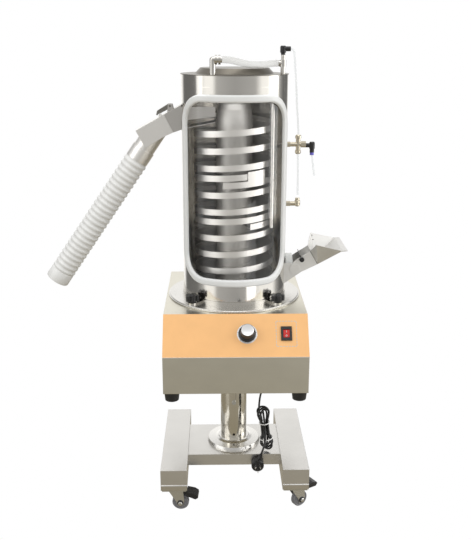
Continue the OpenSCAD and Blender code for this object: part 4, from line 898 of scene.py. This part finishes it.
class TSM_OT_stage(bpy.types.Operator):
    """Camera, lamps and the white surroundings of the photograph"""

    bl_idname = "tsm.stage"
    bl_label = "Stage"

    def execute(self, context):
        settings = context.scene.tsm_camera
        data = bpy.data.cameras.new("camera")
        data.lens = settings.lens
        data.clip_start, data.clip_end = 0.05, 50
        camera = bpy.data.objects.new("camera", data)
        context.collection.objects.link(camera)
        turn = Matrix.Rotation(math.radians(-settings.heading), 4, "Z")
        tilt = Matrix.Rotation(math.radians(90 - settings.pitch), 4, "X")
        roll = Matrix.Rotation(math.radians(settings.roll), 4, "Z")
        camera.matrix_world = Matrix.Translation(Vector(settings.place) * MM) @ turn @ tilt @ roll
        context.scene.camera = camera
        self.surroundings(context)
        # Name, place, where it points, width and height in metres, and watts
        for name, place, target, width, height, power in (
            ("lamp_left", (-2200, -1800, 2600), (0, 0, 700), 1.6, 1.6, 16),
            ("lamp_right", (2400, -1400, 2400), (0, 0, 700), 1.4, 1.4, 14),
            ("lamp_top", (0, -600, 3800), (0, 0, 700), 2.0, 2.0, 18),
            ("lamp_side", (2500, -40, 900), (0, 0, 950), 1.1, 1.1, 10),
            ("lamp_low", (1500, -2000, 150), (300, 0, 800), 0.9, 0.6, 4),
            ("lamp_far_left", (-2400, -500, 1000), (0, 0, 950), 0.7, 1.4, 4),
            ("lamp_inside", (0, -100, 1246), (0, -60, 1000), 0.24, 0.07, 0.09),
        ):
            lamp = bpy.data.lights.new(name, "AREA")
            lamp.shape = "RECTANGLE"
            lamp.size, lamp.size_y = width, height
            lamp.energy = power
            holder = bpy.data.objects.new(name, lamp)
            context.collection.objects.link(holder)
            holder.location = Vector(place) * MM
            holder.rotation_mode = "QUATERNION"
            holder.rotation_quaternion = (Vector(target) * MM - holder.location).to_track_quat("-Z", "Y")
        context.scene.view_settings.view_transform = "Standard"
        return {"FINISHED"}

    def surroundings(self, context):
        """A studio that mirrors in the steel, and plain white where the camera looks past the machine."""
        world = bpy.data.worlds.new("surroundings")
        context.scene.world = world
        world.use_nodes = True
        tree = world.node_tree
        tree.nodes.clear()
        way = add(tree, "ShaderNodeTexCoord").outputs["Generated"]
        axes = add(tree, "ShaderNodeSeparateXYZ", {"Vector": way})
        front = add(tree, "ShaderNodeMath", {0: axes.outputs["Y"], 1: -1}, operation="MULTIPLY")
        turn = add(tree, "ShaderNodeMath", {0: axes.outputs["X"], 1: front.outputs[0]}, operation="ARCTAN2")
        share = add(tree, "ShaderNodeMapRange", {"Value": turn.outputs[0]})
        share.inputs["From Min"].default_value = -math.pi
        share.inputs["From Max"].default_value = math.pi
        ramp = add(tree, "ShaderNodeValToRGB", {"Fac": share.outputs[0]})
        stops = ramp.color_ramp.elements
        stops.remove(stops[1])
        for i, (angle, level) in enumerate(WORLD_LEVELS):
            stop = stops.new((angle + 180) / 360) if i else stops[0]
            stop.color = (level, level * 0.995, level * 0.98, 1)
        rise = axes.outputs["Z"]
        high = add(tree, "ShaderNodeMapRange", {"Value": rise, "From Min": 0.2, "From Max": 0.7})
        low = add(tree, "ShaderNodeMapRange", {"Value": rise, "From Min": -0.36, "From Max": -0.44})
        ceiling = add(tree, "ShaderNodeMixRGB", {"Fac": high.outputs[0], "Color1": ramp.outputs[0]})
        ceiling.inputs["Color2"].default_value = (0.95, 0.95, 0.95, 1)
        floor = add(tree, "ShaderNodeMixRGB", {"Fac": low.outputs[0], "Color1": ceiling.outputs[0]})
        floor.inputs["Color2"].default_value = (0.37, 0.33, 0.245, 1)
        ray = add(tree, "ShaderNodeLightPath").outputs["Is Camera Ray"]
        seen = add(tree, "ShaderNodeMixRGB", {"Fac": ray, "Color1": floor.outputs[0]})
        seen.inputs["Color2"].default_value = (1, 1, 1, 1)
        light = add(tree, "ShaderNodeBackground", {"Color": seen.outputs[0]})
        add(tree, "ShaderNodeOutputWorld", {"Surface": light.outputs[0]})


class TSM_OT_finishes(bpy.types.Operator):
    """Gives every CAD node its finish"""

    bl_idname = "tsm.finishes"
    bl_label = "Finishes"

    def execute(self, context):
        for finish, names in NODE_FINISHES.items():
            for name in names.split():
                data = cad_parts[name].data
                data.materials.clear()
                data.materials.append(FINISH[finish])
        return {"FINISHED"}


class TSM_PT_machine(bpy.types.Panel):
    """The machine's settings and the steps that build it"""

    bl_label = "Tablet screening machine"
    bl_idname = "TSM_PT_machine"
    bl_space_type = "VIEW_3D"
    bl_region_type = "UI"
    bl_category = "Machine"

    def draw(self, context):
        for settings in SETTINGS:
            values = getattr(context.scene, settings)
            for name in values.__annotations__:
                self.layout.prop(values, name)
        for step in STEPS:
            self.layout.operator(step.bl_idname)


SETTINGS = {"tsm_camera": TSM_CameraSettings, "tsm_hose": TSM_HoseSettings, "tsm_panel": TSM_PanelSettings}
STEPS = (
    TSM_OT_stage, TSM_OT_outlet_hose, TSM_OT_air_lines, TSM_OT_mains_cord, TSM_OT_spiral, TSM_OT_window_seal,
    TSM_OT_panel_marks, TSM_OT_trims, TSM_OT_fasteners, TSM_OT_finishes,
)


def register():
    for cls in (*SETTINGS.values(), *STEPS, TSM_PT_machine):
        bpy.utils.register_class(cls)
    for name, cls in SETTINGS.items():
        setattr(bpy.types.Scene, name, bpy.props.PointerProperty(type=cls))


def unregister():
    for name in SETTINGS:
        delattr(bpy.types.Scene, name)
    for cls in reversed((*SETTINGS.values(), *STEPS, TSM_PT_machine)):
        bpy.utils.unregister_class(cls)


def main():
    register()
    make_finishes(bpy.context.scene.tsm_panel)
    for step in STEPS:
        group, name = step.bl_idname.split(".")
        getattr(getattr(bpy.ops, group), name)()


if __name__ == "__main__":
    main()
